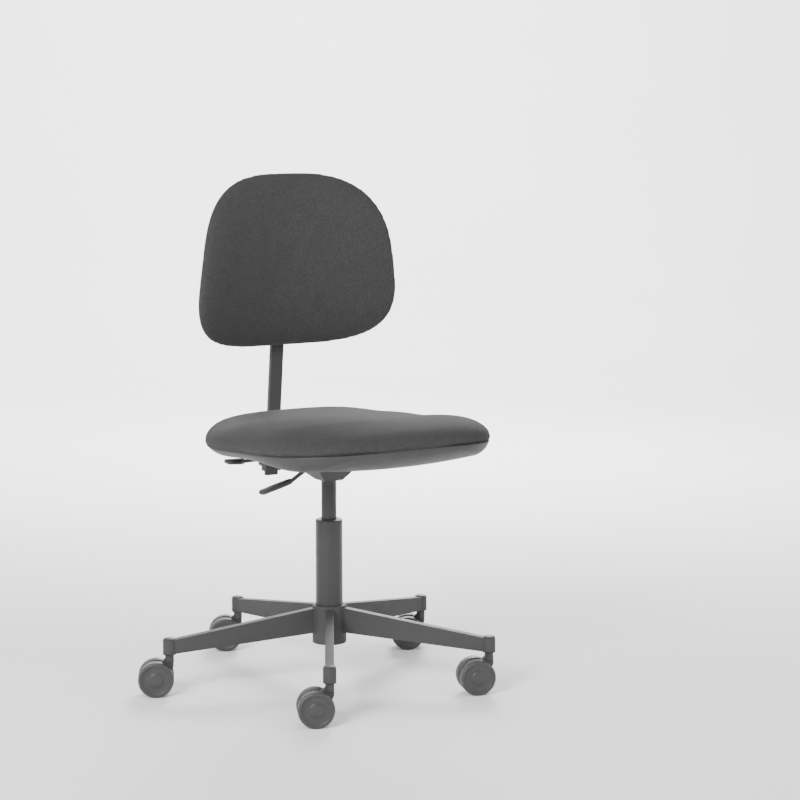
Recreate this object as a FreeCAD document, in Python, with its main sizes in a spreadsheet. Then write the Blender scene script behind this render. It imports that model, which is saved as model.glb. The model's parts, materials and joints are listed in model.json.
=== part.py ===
"""Swivel task chair: five-arm base on twin-wheel casters, gas lift, padded seat and height-adjustable back.

Frame: origin on the floor under the column axis, +Z up, the sitter faces -Y and has +X on the left hand.
All sizes are in millimetres and degrees.
"""
import FreeCAD, Part
import Sketcher
import math
import os

Vector = FreeCAD.Vector
Rotation = FreeCAD.Rotation
Placement = FreeCAD.Placement
X_AXIS = Vector(1, 0, 0)
Z_AXIS = Vector(0, 0, 1)

CASTERS = 5

# Roundness of a pad's edge, and the places across a section where its edge arcs end and bend.
EDGE_POWER = 6
EDGE_END = 0.80
EDGE_BEND = 0.955
# Place across a back section where the cushion's flat rear meets its rounded rim.
EDGE_CORNER = 0.985
# Sections of a pad on each side of its middle, and how far toward or past its ends they go.
SECTIONS_PER_SIDE = 5
SECTION_REACH = 0.985
LAYER_REACH = 1.1

# Driving dimensions, each one set by itself.
SIZES = {
    # fits
    "weld_gap": "0.03",
    "press_gap": "0.03",
    "running_gap": "0.05",
    "sliding_gap": "0.2",
    "soft_gap": "0.3",
    "taper_gap": "0.1",
    # casters
    "wheel_diameter": "65",
    "wheel_width": "20",
    "wheel_rounding": "5",
    "wheel_gap": "9",
    "wheel_face": "2.5",
    "web_gap": "0.5",
    "web_radius": "22",
    "axle_diameter": "8",
    "caster_trail": "24.6",
    "barrel_diameter": "16",
    "barrel_wheel_gap": "1",
    "stem_diameter": "11",
    "stem_length": "24",
    "stem_root": "10",
    "stem_play": "0.3",
    # headings of the caster forks, one per arm
    "caster_heading_1": "156",
    "caster_heading_2": "162",
    "caster_heading_3": "149",
    "caster_heading_4": "153",
    "caster_heading_5": "154",
    # five-arm base
    "base_turn": "-119",
    "stem_circle_radius": "306",
    "socket_diameter": "23.5",
    "socket_bottom": "77",
    "socket_height": "26.4",
    "sleeve_wall": "2.45",
    "sleeve_flange": "1.2",
    "arm_width": "16",
    "arm_wall": "2",
    "arm_root_bottom": "95",
    "arm_root_top": "142",
    "hub_diameter": "63",
    "hub_bottom": "74",
    "hub_top": "146",
    "edge_break": "1.5",
    # gas lift column
    "column_diameter": "50",
    "column_wall": "2",
    "column_top": "303",
    "column_foot_rise": "6",
    "column_foot_thickness": "4",
    "bush_length": "105",
    "bush_cap": "4",
    "cylinder_diameter": "28",
    "cylinder_wall": "3",
    "lift_down": "68",
    "lift_up": "40",
    "stop_gap": "0.8",
    "cylinder_end": "8",
    "taper_length": "30",
    "taper_drop": "0.8",
    "rod_diameter": "10",
    "piston_height": "10",
    "rod_shoulder": "3",
    "bearing_radius": "13",
    "bearing_washer": "1.5",
    "ball_diameter": "4",
    "bearing_balls": "10",
    "clip_thickness": "1.5",
    "clip_radius": "9",
    "bump_height": "6",
    "release_pin_diameter": "8",
    "release_pin_rise": "4",
    "release_pin_length": "16",
    # mechanism under the seat
    "mechanism_bottom": "380",
    "mechanism_knee": "405",
    "mechanism_mouth": "38",
    "mechanism_width": "80",
    "mechanism_front": "35",
    "mechanism_rear": "82",
    "mechanism_wall": "2.5",
    "taper_wall": "3.5",
    "taper_lip": "3",
    # seat stack, in the frame of the sloping seat
    "seat_slope": "4.4",
    "board_bottom": "440",
    "plate_thickness": "3",
    "plate_width": "180",
    "plate_front": "75",
    "plate_rear": "60",
    "plate_bolt_inset": "12",
    "bolt_diameter": "6",
    "bolt_head_diameter": "11",
    "bolt_head_height": "4",
    "board_thickness": "12",
    "board_inset": "42",
    "board_corner": "110",
    "seat_width": "448",
    "seat_depth": "477",
    "seat_offset": "67",
    "seat_squareness": "3.5",
    "seat_mid_height": "18.5",
    "seat_front_rise": "1",
    "seat_rear_rise": "30",
    "seat_flat_share": "0.5",
    "seat_crown": "39.5",
    "seat_hollow_depth": "4.5",
    "seat_hollow_spread": "0.3",
    "seat_roll_height": "3.5",
    "seat_roll_place": "0.5",
    "seat_roll_spread": "0.28",
    "seat_belly_front": "44",
    "seat_belly_rear": "25",
    "seat_belly_start": "0.05",
    "seat_belly_end": "0.6",
    "seat_shell_wall": "3.5",
    "insert_spread": "120",
    "insert_front": "16",
    "insert_spacing": "60",
    "insert_margin": "22",
    "insert_length": "11",
    "insert_wall": "2.1",
    "insert_bore": "6.8",
    # levers on the sitter's right
    "lever_section": "6",
    "lever_shaft_diameter": "5",
    "lever_shaft_x": "31",
    "lever_shaft_z": "413",
    "lever_shaft_proud": "1.5",
    "lever_boss_diameter": "8",
    "lever_boss_length": "12",
    "height_neck_x": "78",
    "height_neck_z": "384.5",
    "height_tip_x": "144",
    "height_tip_z": "367",
    "grip_thickness": "9",
    "height_grip_width": "22",
    "grip_overlap": "14",
    "lever_slot_play": "5",
    "tilt_lever_y": "57",
    "tilt_root_x": "26",
    "tilt_knee_x": "46",
    "tilt_knee_z": "420",
    "tilt_neck_x": "146",
    "tilt_neck_z": "418.5",
    "tilt_tip_x": "182",
    "tilt_tip_z": "420",
    "tilt_grip_width": "34",
    # back bracket, upright and its tilt joint
    "bracket_width": "40",
    "bracket_height": "14",
    "bracket_bottom": "404",
    "bracket_rise": "22",
    "bracket_end": "198",
    "fork_gap": "29",
    "fork_depth": "75",
    "pivot_y": "188",
    "pivot_z": "431.5",
    "pivot_diameter": "10",
    "tilt_bush_wall": "3",
    "tongue_play": "0.5",
    "tongue_radius": "11.5",
    "post_width": "26",
    "post_thickness": "10",
    "post_foot_y": "229.8",
    "post_foot_z": "355",
    "post_bend_y": "199",
    "post_bend_z": "638",
    "post_top_z": "890",
    "holder_wall": "4",
    "holder_bottom": "364",
    "holder_top": "446",
    "angle_knob_z": "378",
    "angle_knob_diameter": "25",
    "angle_knob_length": "22",
    "knob_stud_diameter": "8",
    "knob_neck": "3",
    # backrest
    "back_width": "402",
    "back_height": "327",
    "back_squareness_top": "3.0",
    "back_squareness_bottom": "3.54",
    "back_taper": "0.107",
    "back_mid_y": "152.3",
    "back_mid_z": "775.4",
    "back_lean": "0.06",
    "back_lumbar": "0.00068",
    "back_wrap": "0.00116",
    "back_thickness": "44",
    "cushion_rear": "6",
    "back_board_gap": "1.1",
    "back_board_thickness": "8",
    "back_board_share": "0.8",
    "back_shell_share": "0.95",
    "carrier_width": "64",
    "carrier_bottom": "655",
    "carrier_height": "80",
    "carrier_wall": "12",
    "carrier_screw_spread": "44",
    "carrier_screw_rise": "56",
    "carrier_screw_diameter": "5",
    "back_knob_diameter": "34",
    "back_knob_length": "24",
    "knob_flutes": "6",
    "knob_flute_diameter": "9",
}

# Sizes that follow from the driving ones.
DERIVED = {
    "wheel_radius": "=sizes.wheel_diameter / 2",
    "wheel_edge": "=wheel_radius - sizes.wheel_rounding",
    "wheel_shoulder": "=sizes.wheel_width - sizes.wheel_rounding",
    "axle_radius": "=sizes.axle_diameter / 2",
    "wheel_bore": "=axle_radius + sizes.running_gap",
    "wheel_bore_depth": "=sizes.wheel_width - sizes.wheel_face",
    "axle_half": "=sizes.wheel_gap / 2 + wheel_bore_depth - sizes.web_gap",
    "web_half": "=sizes.wheel_gap / 2 - sizes.web_gap",
    "web_thickness": "=2 * web_half",
    "barrel_radius": "=sizes.barrel_diameter / 2",
    "barrel_reach": "=sizes.caster_trail - barrel_radius",
    "barrel_bottom": "=wheel_radius + sqrt((wheel_radius + sizes.barrel_wheel_gap) ^ 2 - barrel_reach ^ 2)",
    "barrel_top": "=sizes.socket_bottom - sizes.sleeve_flange - sizes.stem_play",
    "neck_top": "=(barrel_bottom + barrel_top) / 2",
    "neck_low": "=barrel_bottom - barrel_radius",
    "neck_half": "=barrel_radius - sizes.web_gap",
    "web_crest": "=wheel_radius + sizes.web_radius",
    "web_front": "=sizes.caster_trail - sizes.web_radius",
    "stem_radius": "=sizes.stem_diameter / 2",
    "stem_bottom": "=barrel_top - sizes.stem_root",
    "stem_total": "=sizes.stem_root + sizes.stem_length",
    "sleeve_bore": "=stem_radius + sizes.running_gap",
    "sleeve_radius": "=sleeve_bore + sizes.sleeve_wall",
    "socket_radius": "=sizes.socket_diameter / 2",
    "socket_top": "=sizes.socket_bottom + sizes.socket_height",
    "sleeve_flange_bottom": "=sizes.socket_bottom - sizes.sleeve_flange",
    "sleeve_top": "=barrel_top + sizes.stem_length + sizes.stem_play",
    "socket_bore": "=sleeve_radius + sizes.press_gap",
    "socket_start": "=sizes.stem_circle_radius - socket_radius",
    "hub_radius": "=sizes.hub_diameter / 2",
    "arm_inside": "=hub_radius - sizes.arm_width / 2",
    "arm_seat": "=hub_radius + sizes.weld_gap",
    "arm_cave_width": "=sizes.arm_width - 2 * sizes.arm_wall",
    "arm_cave_end": "=socket_start - sizes.arm_wall",
    "arm_cave_root_bottom": "=sizes.arm_root_bottom + sizes.arm_wall",
    "arm_cave_root_top": "=sizes.arm_root_top - sizes.arm_wall",
    "arm_cave_end_bottom": "=sizes.socket_bottom + 1.5 * sizes.arm_wall",
    "arm_cave_end_top": "=socket_top - sizes.arm_wall",
    "column_radius": "=sizes.column_diameter / 2",
    "column_bore": "=column_radius - sizes.column_wall",
    "hub_bore": "=column_radius + sizes.press_gap",
    "hub_edge": "=hub_radius - sizes.edge_break",
    "hub_rim": "=sizes.hub_top - sizes.edge_break",
    "foot_bottom": "=sizes.hub_bottom + sizes.column_foot_rise",
    "foot_top": "=foot_bottom + sizes.column_foot_thickness",
    "rod_radius": "=sizes.rod_diameter / 2",
    "rod_bore": "=rod_radius + sizes.running_gap",
    "cylinder_radius": "=sizes.cylinder_diameter / 2",
    "cylinder_bore": "=cylinder_radius - sizes.cylinder_wall",
    "bush_bore": "=cylinder_radius + sizes.running_gap",
    "bush_radius": "=column_bore - sizes.press_gap",
    "bush_bottom": "=sizes.column_top - sizes.bush_length",
    "bush_top": "=sizes.column_top + sizes.bush_cap",
    "bush_rim": "=sizes.column_top + sizes.bush_cap / 2",
    "bush_shoulder": "=column_radius - sizes.bush_cap",
    "taper_top": "=sizes.mechanism_bottom + sizes.taper_length",
    "taper_tip": "=cylinder_radius - sizes.taper_drop",
    "chamber_top": "=taper_top - sizes.taper_length / 2",
    "pin_radius": "=sizes.release_pin_diameter / 2",
    "pin_bore": "=pin_radius + sizes.running_gap",
    "pin_top": "=taper_top + sizes.release_pin_rise",
    "pin_bottom": "=pin_top - sizes.release_pin_length",
    "taper_seat": "=sizes.taper_length - sizes.taper_lip",
    "taper_bore_low": "=cylinder_radius + sizes.taper_gap",
    "taper_bore_high": "=taper_bore_low - sizes.taper_drop * taper_seat / sizes.taper_length",
    "taper_outer": "=cylinder_radius + sizes.taper_wall",
    "taper_lip_top": "=taper_top - sizes.taper_lip",
    "taper_hole": "=taper_outer + sizes.weld_gap",
    "bearing_bottom": "=foot_top + sizes.running_gap",
    "bearing_low_washer": "=bearing_bottom + sizes.bearing_washer",
    "bearing_high_washer": "=bearing_low_washer + sizes.ball_diameter + 2 * sizes.press_gap",
    "bearing_top": "=bearing_high_washer + sizes.bearing_washer",
    "bearing_ball_height": "=bearing_low_washer + sizes.ball_diameter / 2 + sizes.press_gap",
    "bearing_ball_circle": "=(rod_radius + sizes.bearing_radius) / 2",
    "bearing_bore": "=rod_radius + sizes.press_gap",
    "shoulder_bottom": "=bearing_top + sizes.press_gap",
    "shoulder_top": "=shoulder_bottom + sizes.rod_shoulder",
    "shoulder_radius": "=rod_radius + sizes.rod_shoulder",
    "bump_bottom": "=shoulder_top + sizes.press_gap",
    "bump_top": "=bump_bottom + sizes.bump_height",
    "cylinder_bottom": "=bump_top + sizes.lift_down + sizes.stop_gap",
    "chamber_bottom": "=cylinder_bottom + sizes.cylinder_end",
    "piston_bottom": "=chamber_bottom + sizes.lift_up + sizes.stop_gap",
    "clip_top": "=foot_bottom - sizes.running_gap",
    "clip_bottom": "=clip_top - sizes.clip_thickness",
    "rod_bottom": "=clip_bottom - sizes.clip_thickness",
    "piston_top": "=piston_bottom + sizes.piston_height",
    "piston_radius": "=cylinder_bore - sizes.running_gap",
    "mouth_half": "=sizes.mechanism_mouth / 2",
    "mechanism_half": "=sizes.mechanism_width / 2",
    "cave_mouth_half": "=mouth_half - sizes.mechanism_wall",
    "cave_half": "=mechanism_half - sizes.mechanism_wall",
    "cave_front": "=sizes.mechanism_front - sizes.mechanism_wall",
    "cave_rear": "=sizes.mechanism_rear - sizes.mechanism_wall",
    "cave_bottom": "=sizes.mechanism_bottom + sizes.mechanism_wall",
    "bolt_radius": "=sizes.bolt_diameter / 2",
    "bolt_hole": "=bolt_radius + sizes.sliding_gap",
    "board_half": "=sizes.seat_width / 2 - sizes.board_inset",
    "board_front": "=sizes.seat_offset + sizes.seat_depth / 2 - sizes.board_inset",
    "board_rear": "=sizes.seat_depth / 2 - sizes.seat_offset - sizes.board_inset",
    "insert_radius": "=sizes.insert_bore / 2 + sizes.insert_wall",
    "insert_hole": "=insert_radius + sizes.press_gap",
    "window_half": "=sizes.insert_spread + sizes.insert_margin",
    "window_front": "=sizes.insert_front + sizes.insert_spacing + sizes.insert_margin",
    "window_rear": "=sizes.mechanism_rear + sizes.seat_shell_wall",
    "lever_half": "=sizes.lever_section / 2",
    "lever_shaft_radius": "=sizes.lever_shaft_diameter / 2",
    "lever_shaft_hole": "=lever_shaft_radius + sizes.press_gap",
    "lever_shaft_start": "=sizes.mechanism_front + sizes.lever_shaft_proud",
    "lever_shaft_length": "=lever_shaft_start + sizes.mechanism_rear + sizes.lever_shaft_proud",
    "lever_bore": "=lever_shaft_radius + sizes.running_gap",
    "lever_boss_radius": "=sizes.lever_boss_diameter / 2",
    "lever_boss_start": "=sizes.lever_boss_length / 2",
    "bracket_top": "=sizes.bracket_bottom + sizes.bracket_height",
    "bracket_end_bottom": "=sizes.bracket_bottom + sizes.bracket_rise",
    "bracket_end_top": "=bracket_top + sizes.bracket_rise",
    "fork_start": "=sizes.bracket_end - sizes.fork_depth",
    "pivot_radius": "=sizes.pivot_diameter / 2",
    "tilt_bush_bore": "=pivot_radius + sizes.running_gap",
    "tilt_bush_radius": "=tilt_bush_bore + sizes.tilt_bush_wall",
    "tongue_bore": "=tilt_bush_radius + sizes.press_gap",
    "tongue_low": "=sizes.pivot_z - tongue_bore",
    "tongue_high": "=sizes.pivot_z + tongue_bore",
    "tongue_width": "=sizes.fork_gap - 2 * sizes.tongue_play",
    "post_half": "=sizes.post_thickness / 2",
    "post_rear_foot": "=sizes.post_foot_y + post_half",
    "post_front_foot": "=sizes.post_foot_y - post_half",
    "post_rear": "=sizes.post_bend_y + post_half",
    "post_front": "=sizes.post_bend_y - post_half",
    "post_slope": "=(sizes.post_foot_y - sizes.post_bend_y) / (sizes.post_bend_z - sizes.post_foot_z)",
    "holder_low_y": "=sizes.post_foot_y - post_slope * (sizes.holder_bottom - sizes.post_foot_z)",
    "holder_high_y": "=sizes.post_foot_y - post_slope * (sizes.holder_top - sizes.post_foot_z)",
    "holder_half": "=post_half + sizes.press_gap + sizes.holder_wall",
    "holder_low_rear": "=holder_low_y + holder_half",
    "holder_low_front": "=holder_low_y - holder_half",
    "holder_high_rear": "=holder_high_y + holder_half",
    "holder_high_front": "=holder_high_y - holder_half",
    "holder_width": "=sizes.post_width + 2 * (sizes.holder_wall + sizes.press_gap)",
    "slot_half": "=post_half + sizes.press_gap",
    "slot_rear_foot": "=sizes.post_foot_y + slot_half",
    "slot_front_foot": "=sizes.post_foot_y - slot_half",
    "slot_rear": "=sizes.post_bend_y + slot_half",
    "slot_front": "=sizes.post_bend_y - slot_half",
    "slot_width": "=sizes.post_width + 2 * sizes.press_gap",
    "knob_y": "=sizes.post_foot_y - post_slope * (sizes.angle_knob_z - sizes.post_foot_z)",
    "knob_stud_radius": "=sizes.knob_stud_diameter / 2",
    "knob_stud_hole": "=knob_stud_radius + sizes.running_gap",
    "carrier_slot_width": "=sizes.post_width + 2 * sizes.sliding_gap",
    "carrier_slot_depth": "=sizes.post_thickness + 2 * sizes.sliding_gap",
    "carrier_slot_y": "=sizes.post_bend_y - carrier_slot_depth / 2",
    "carrier_rear": "=sizes.post_bend_y + carrier_slot_depth / 2 + sizes.carrier_wall",
    "carrier_mid_z": "=sizes.carrier_bottom + sizes.carrier_height / 2",
    "carrier_screw_radius": "=sizes.carrier_screw_diameter / 2",
    "carrier_screw_hole": "=carrier_screw_radius + sizes.press_gap",
}

doc = FreeCAD.newDocument("task_chair")


def write_sheet(name, cells):
    """A sheet with one named cell a row."""
    sheet = doc.addObject("Spreadsheet::Sheet", name)
    for row, (alias, content) in enumerate(cells.items(), start=1):
        sheet.set("A%d" % row, alias)
        sheet.set("B%d" % row, content)
        sheet.setAlias("B%d" % row, alias)
    doc.recompute()
    return sheet


sizes = write_sheet("sizes", SIZES)
derived = write_sheet("derived", DERIVED)
nodes = []


def value(name):
    """The number behind a size's name; a leading minus turns its sign."""
    if name == "0":
        return 0.0
    if name.startswith("-"):
        return -value(name[1:])
    sheet = sizes if name in SIZES else derived
    return float(sheet.get(name))


def formula(name):
    """The expression that reads a size's cell."""
    if name.startswith("-"):
        return "-" + formula(name[1:])
    return ("sizes." if name in SIZES else "derived.") + name


def bind(thing, **properties):
    """Tie properties to cells, as in bind(cylinder, Radius="axle_radius")."""
    for prop, name in properties.items():
        thing.setExpression(prop, formula(name))
    return thing


def node(thing, label, placement=None):
    """Name a finished sub-part and list it for writing."""
    thing.Label = label
    if placement is not None:
        thing.Placement = placement
    nodes.append(thing)
    return thing


def fresh(kind, name):
    return doc.addObject(kind, name)


def origin_plane(body, role):
    return [plane for plane in body.Origin.OriginFeatures if plane.Role == role][0]


def outline(body, role, points):
    """A closed polygon sketch whose corners are tied to named sizes."""
    sketch = body.newObject("Sketcher::SketchObject", body.Name + "_outline")
    sketch.AttachmentSupport = [(origin_plane(body, role), "")]
    sketch.MapMode = "FlatFace"
    corners = [Vector(value(across), value(up), 0) for across, up in points]
    count = len(corners)
    for index in range(count):
        sketch.addGeometry(Part.LineSegment(corners[index], corners[(index + 1) % count]))
    for index in range(count):
        sketch.addConstraint(Sketcher.Constraint("Coincident", index, 2, (index + 1) % count, 1))
    for index, (across, up) in enumerate(points):
        for kind, name, axis in (("DistanceX", across, -2), ("DistanceY", up, -1)):
            if name == "0":
                sketch.addConstraint(Sketcher.Constraint("PointOnObject", index, 1, axis))
                continue
            tie = sketch.addConstraint(Sketcher.Constraint(kind, -1, 1, index, 1, value(name)))
            sketch.setExpression("Constraints[%d]" % tie, formula(name))
    return sketch


def turned(name, points):
    """A solid of revolution about Z from a profile of (radius, height) corners."""
    body = fresh("PartDesign::Body", name)
    sketch = outline(body, "XZ_Plane", points)
    turn = body.newObject("PartDesign::Revolution", name + "_turn")
    turn.Profile = sketch
    turn.ReferenceAxis = (sketch, ["V_Axis"])
    turn.Angle = 360
    return body


def slab(name, role, points, width):
    """A polygon padded evenly to both sides of an origin plane."""
    body = fresh("PartDesign::Body", name)
    sketch = outline(body, role, points)
    pad = body.newObject("PartDesign::Pad", name + "_pad")
    pad.Profile = sketch
    pad.SideType = "Symmetric"
    bind(pad, Length=width)
    return body


def along(direction):
    """A test for straight edges that run along a direction."""
    def test(edge):
        if edge.Curve.TypeId != "Part::GeomLine":
            return False
        return abs(edge.tangentAt(edge.FirstParameter).dot(direction)) > 0.999
    return test


def rod(name, radius, length, placement):
    """A cylinder from a placement along its own Z."""
    cylinder = bind(fresh("Part::Cylinder", name), Radius=radius, Height=length)
    cylinder.Placement = placement
    return cylinder


def block(name, low, high):
    """A box between two corners, in plain numbers worked out from the sheet."""
    box = fresh("Part::Box", name)
    box.Length, box.Width, box.Height = (high[axis] - low[axis] for axis in range(3))
    box.Placement.Base = Vector(*low)
    return box


def cut(name, base, *tools):
    """Take tools away from a base, one after another."""
    for step, tool in enumerate(tools, start=1):
        result = fresh("Part::Cut", name if step == len(tools) else "%s_step_%d" % (name, step))
        result.Base = base
        result.Tool = tool
        base = result
    return base


def fused(name, *pieces):
    result = fresh("Part::MultiFuse", name)
    result.Shapes = list(pieces)
    result.Refine = True
    return result


def common(name, base, tool):
    result = fresh("Part::Common", name)
    result.Base = base
    result.Tool = tool
    return result


def group(name, pieces):
    """Separate solids of one kind in one sub-part."""
    result = fresh("Part::Compound", name)
    result.Links = list(pieces)
    return result


def shaped(name, shape):
    """A lofted form that no sketch feature gives."""
    feature = fresh("Part::Feature", name)
    feature.Shape = shape
    return feature


def at(x, y, z, axis=Z_AXIS, angle=0):
    return Placement(Vector(x, y, z), Rotation(axis, angle))


TOWARD_REAR = Rotation(X_AXIS, -90)
TOWARD_FRONT = Rotation(X_AXIS, 90)
TOWARD_LEFT = Rotation(Vector(0, 1, 0), 90)


def caster_placement(index):
    """Stem axis of one caster, turned to its heading."""
    angle = math.radians(value("base_turn") + 360 / CASTERS * (index - 1))
    radius = value("stem_circle_radius")
    heading = value("caster_heading_%d" % index)
    return at(radius * math.cos(angle), radius * math.sin(angle), 0, Z_AXIS, heading)


def make_caster_body(index):
    """Neck barrel and web between the two wheels, bored for stem and axle."""
    name = "caster_body_%d" % index
    trail = value("caster_trail")
    axle_height = value("wheel_radius")
    barrel = turned(name + "_barrel", [
        ("0", "barrel_bottom"), ("barrel_radius", "barrel_bottom"),
        ("barrel_radius", "barrel_top"), ("0", "barrel_top")])
    neck = slab(name + "_neck", "XZ_Plane", [
        ("-neck_half", "neck_top"), ("neck_half", "neck_top"), ("caster_trail", "web_crest"),
        ("caster_trail", "wheel_radius"), ("web_front", "wheel_radius"), ("-neck_half", "neck_low")],
        "web_thickness")
    across = Placement(Vector(trail, -value("web_half"), axle_height), TOWARD_REAR)
    disc = rod(name + "_disc", "web_radius", "web_thickness", across)
    axle_hole = rod(name + "_axle_hole", "axle_radius", "web_thickness", across)
    axle_hole.setExpression("Radius", "derived.axle_radius + sizes.press_gap")
    stem_hole = rod(name + "_stem_hole", "stem_radius", "stem_total", at(0, 0, value("stem_bottom")))
    stem_hole.setExpression("Radius", "derived.stem_radius + sizes.press_gap")
    return cut(name, fused(name + "_blank", barrel, neck, disc), axle_hole, stem_hole)


def make_caster_pins(index):
    """Steel stem and axle of one caster."""
    name = "caster_pins_%d" % index
    stem = rod(name + "_stem", "stem_radius", "stem_total", at(0, 0, value("stem_bottom")))
    start = Vector(value("caster_trail"), -value("axle_half"), value("wheel_radius"))
    axle = rod(name + "_axle", "axle_radius", "axle_half", Placement(start, TOWARD_REAR))
    axle.setExpression("Height", "2 * derived.axle_half")
    return group(name, [stem, axle])


def make_wheel(name):
    """Smooth disc wheel with a blind bore on its inner side."""
    return turned(name, [
        ("wheel_bore", "0"), ("wheel_edge", "0"), ("wheel_radius", "wheel_rounding"),
        ("wheel_radius", "wheel_shoulder"), ("wheel_edge", "wheel_width"), ("0", "wheel_width"),
        ("0", "wheel_bore_depth"), ("wheel_bore", "wheel_bore_depth")])


def make_casters():
    for index in range(1, CASTERS + 1):
        stand = caster_placement(index)
        node(make_caster_body(index), "caster_body_%d" % index, stand)
        node(make_caster_pins(index), "caster_pins_%d" % index, stand)
        for side, sign, turn in (("a", 1, TOWARD_REAR), ("b", -1, TOWARD_FRONT)):
            name = "wheel_%d_%s" % (index, side)
            hub = Vector(value("caster_trail"), sign * value("wheel_gap") / 2, value("wheel_radius"))
            node(make_wheel(name), name, stand.multiply(Placement(hub, turn)))


def make_arm(index):
    """Tapered hollow arm, welded to the hub, with the socket for a caster at its end."""
    name = "base_arm_%d" % index
    beam = slab(name + "_beam", "XZ_Plane", [
        ("arm_inside", "arm_root_bottom"), ("socket_start", "socket_bottom"),
        ("stem_circle_radius", "socket_bottom"), ("stem_circle_radius", "socket_top"),
        ("socket_start", "socket_top"), ("arm_inside", "arm_root_top")], "arm_width")
    cave = slab(name + "_cave", "XZ_Plane", [
        ("arm_inside", "arm_cave_root_bottom"), ("arm_cave_end", "arm_cave_end_bottom"),
        ("arm_cave_end", "arm_cave_end_top"), ("arm_inside", "arm_cave_root_top")], "arm_cave_width")
    stem_axis = at(value("stem_circle_radius"), 0, value("socket_bottom"))
    socket = rod(name + "_socket", "socket_radius", "socket_height", stem_axis)
    bore = rod(name + "_bore", "socket_bore", "socket_height", stem_axis)
    hub = rod(name + "_hub", "arm_seat", "hub_top", at(0, 0, 0))
    return cut(name, fused(name + "_blank", beam, socket), cave, bore, hub)


def make_base():
    for index in range(1, CASTERS + 1):
        turn = value("base_turn") + 360 / CASTERS * (index - 1)
        node(make_arm(index), "base_arm_%d" % index, at(0, 0, 0, Z_AXIS, turn))
    node(turned("base_hub", [
        ("hub_bore", "hub_bottom"), ("hub_radius", "hub_bottom"), ("hub_radius", "hub_rim"),
        ("hub_edge", "hub_top"), ("hub_bore", "hub_top")]), "base_hub")
    sleeves = []
    for index in range(1, CASTERS + 1):
        sleeve = turned("caster_sleeve_%d" % index, [
            ("sleeve_bore", "sleeve_flange_bottom"), ("socket_radius", "sleeve_flange_bottom"),
            ("socket_radius", "socket_bottom"), ("sleeve_radius", "socket_bottom"),
            ("sleeve_radius", "sleeve_top"), ("sleeve_bore", "sleeve_top")])
        sleeve.Placement = caster_placement(index)
        sleeves.append(sleeve)
    node(group("caster_sleeves", sleeves), "caster_sleeves")


def make_column():
    """Outer tube and guide bush on the base, rod and bearing that swivel, cylinder that lifts."""
    node(turned("column_tube", [
        ("column_bore", "hub_bottom"), ("column_radius", "hub_bottom"), ("column_radius", "column_top"),
        ("column_bore", "column_top"), ("column_bore", "foot_top"), ("rod_bore", "foot_top"),
        ("rod_bore", "foot_bottom"), ("column_bore", "foot_bottom")]), "column_tube")
    node(turned("column_bush", [
        ("bush_bore", "bush_bottom"), ("bush_radius", "bush_bottom"), ("bush_radius", "column_top"),
        ("column_radius", "column_top"), ("column_radius", "bush_rim"), ("bush_shoulder", "bush_top"),
        ("bush_bore", "bush_top")]), "column_bush")
    node(turned("piston_rod", [
        ("0", "rod_bottom"), ("rod_radius", "rod_bottom"), ("rod_radius", "shoulder_bottom"),
        ("shoulder_radius", "shoulder_bottom"), ("shoulder_radius", "shoulder_top"),
        ("rod_radius", "shoulder_top"), ("rod_radius", "piston_bottom"), ("piston_radius", "piston_bottom"),
        ("piston_radius", "piston_top"), ("0", "piston_top")]), "piston_rod")
    washers = []
    for name, low, high in (("low", "bearing_bottom", "bearing_low_washer"),
                            ("high", "bearing_high_washer", "bearing_top")):
        washers.append(turned("bearing_washer_" + name, [
            ("bearing_bore", low), ("bearing_radius", low),
            ("bearing_radius", high), ("bearing_bore", high)]))
    balls = []
    ball_count = int(value("bearing_balls"))
    ball_height = value("bearing_ball_height")
    circle = value("bearing_ball_circle")
    for index in range(ball_count):
        angle = 2 * math.pi * index / ball_count
        ball = fresh("Part::Sphere", "bearing_ball")
        ball.setExpression("Radius", "sizes.ball_diameter / 2")
        ball.Placement.Base = Vector(circle * math.cos(angle), circle * math.sin(angle), ball_height)
        balls.append(ball)
    node(group("thrust_bearing", washers + balls), "thrust_bearing")
    node(turned("rod_clip", [
        ("bearing_bore", "clip_bottom"), ("clip_radius", "clip_bottom"),
        ("clip_radius", "clip_top"), ("bearing_bore", "clip_top")]), "rod_clip")
    node(turned("bump_stop", [
        ("bearing_bore", "bump_bottom"), ("shoulder_radius", "bump_bottom"),
        ("shoulder_radius", "bump_top"), ("bearing_bore", "bump_top")]), "bump_stop")
    node(turned("gas_cylinder", [
        ("rod_bore", "cylinder_bottom"), ("cylinder_radius", "cylinder_bottom"),
        ("cylinder_radius", "mechanism_bottom"), ("taper_tip", "taper_top"), ("pin_bore", "taper_top"),
        ("pin_bore", "chamber_top"), ("cylinder_bore", "chamber_top"), ("cylinder_bore", "chamber_bottom"),
        ("rod_bore", "chamber_bottom")]), "gas_cylinder")
    node(turned("release_pin", [
        ("0", "pin_bottom"), ("pin_radius", "pin_bottom"), ("pin_radius", "pin_top"), ("0", "pin_top")]),
        "release_pin")


def seat_frame():
    """Frame of the sloping seat: Z = 0 on the underside of the board, above the column axis."""
    return at(0, 0, value("board_bottom"), X_AXIS, -value("seat_slope"))


def above_plate(name):
    """Everything above the underside of the sloping seat plate."""
    reach = value("seat_width") + value("seat_depth")
    space = block(name, (-reach, -reach, 0), (reach, reach, reach))
    lift = Placement(Vector(0, 0, -value("plate_thickness")), Rotation())
    space.Placement = seat_frame().multiply(lift).multiply(space.Placement)
    return space


def rectangle(half, front, rear, height):
    """A closed rectangle at one height; front is toward -Y."""
    corners = [Vector(-half, -front, height), Vector(half, -front, height),
               Vector(half, rear, height), Vector(-half, rear, height)]
    return Part.makePolygon(corners + corners[:1])


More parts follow.
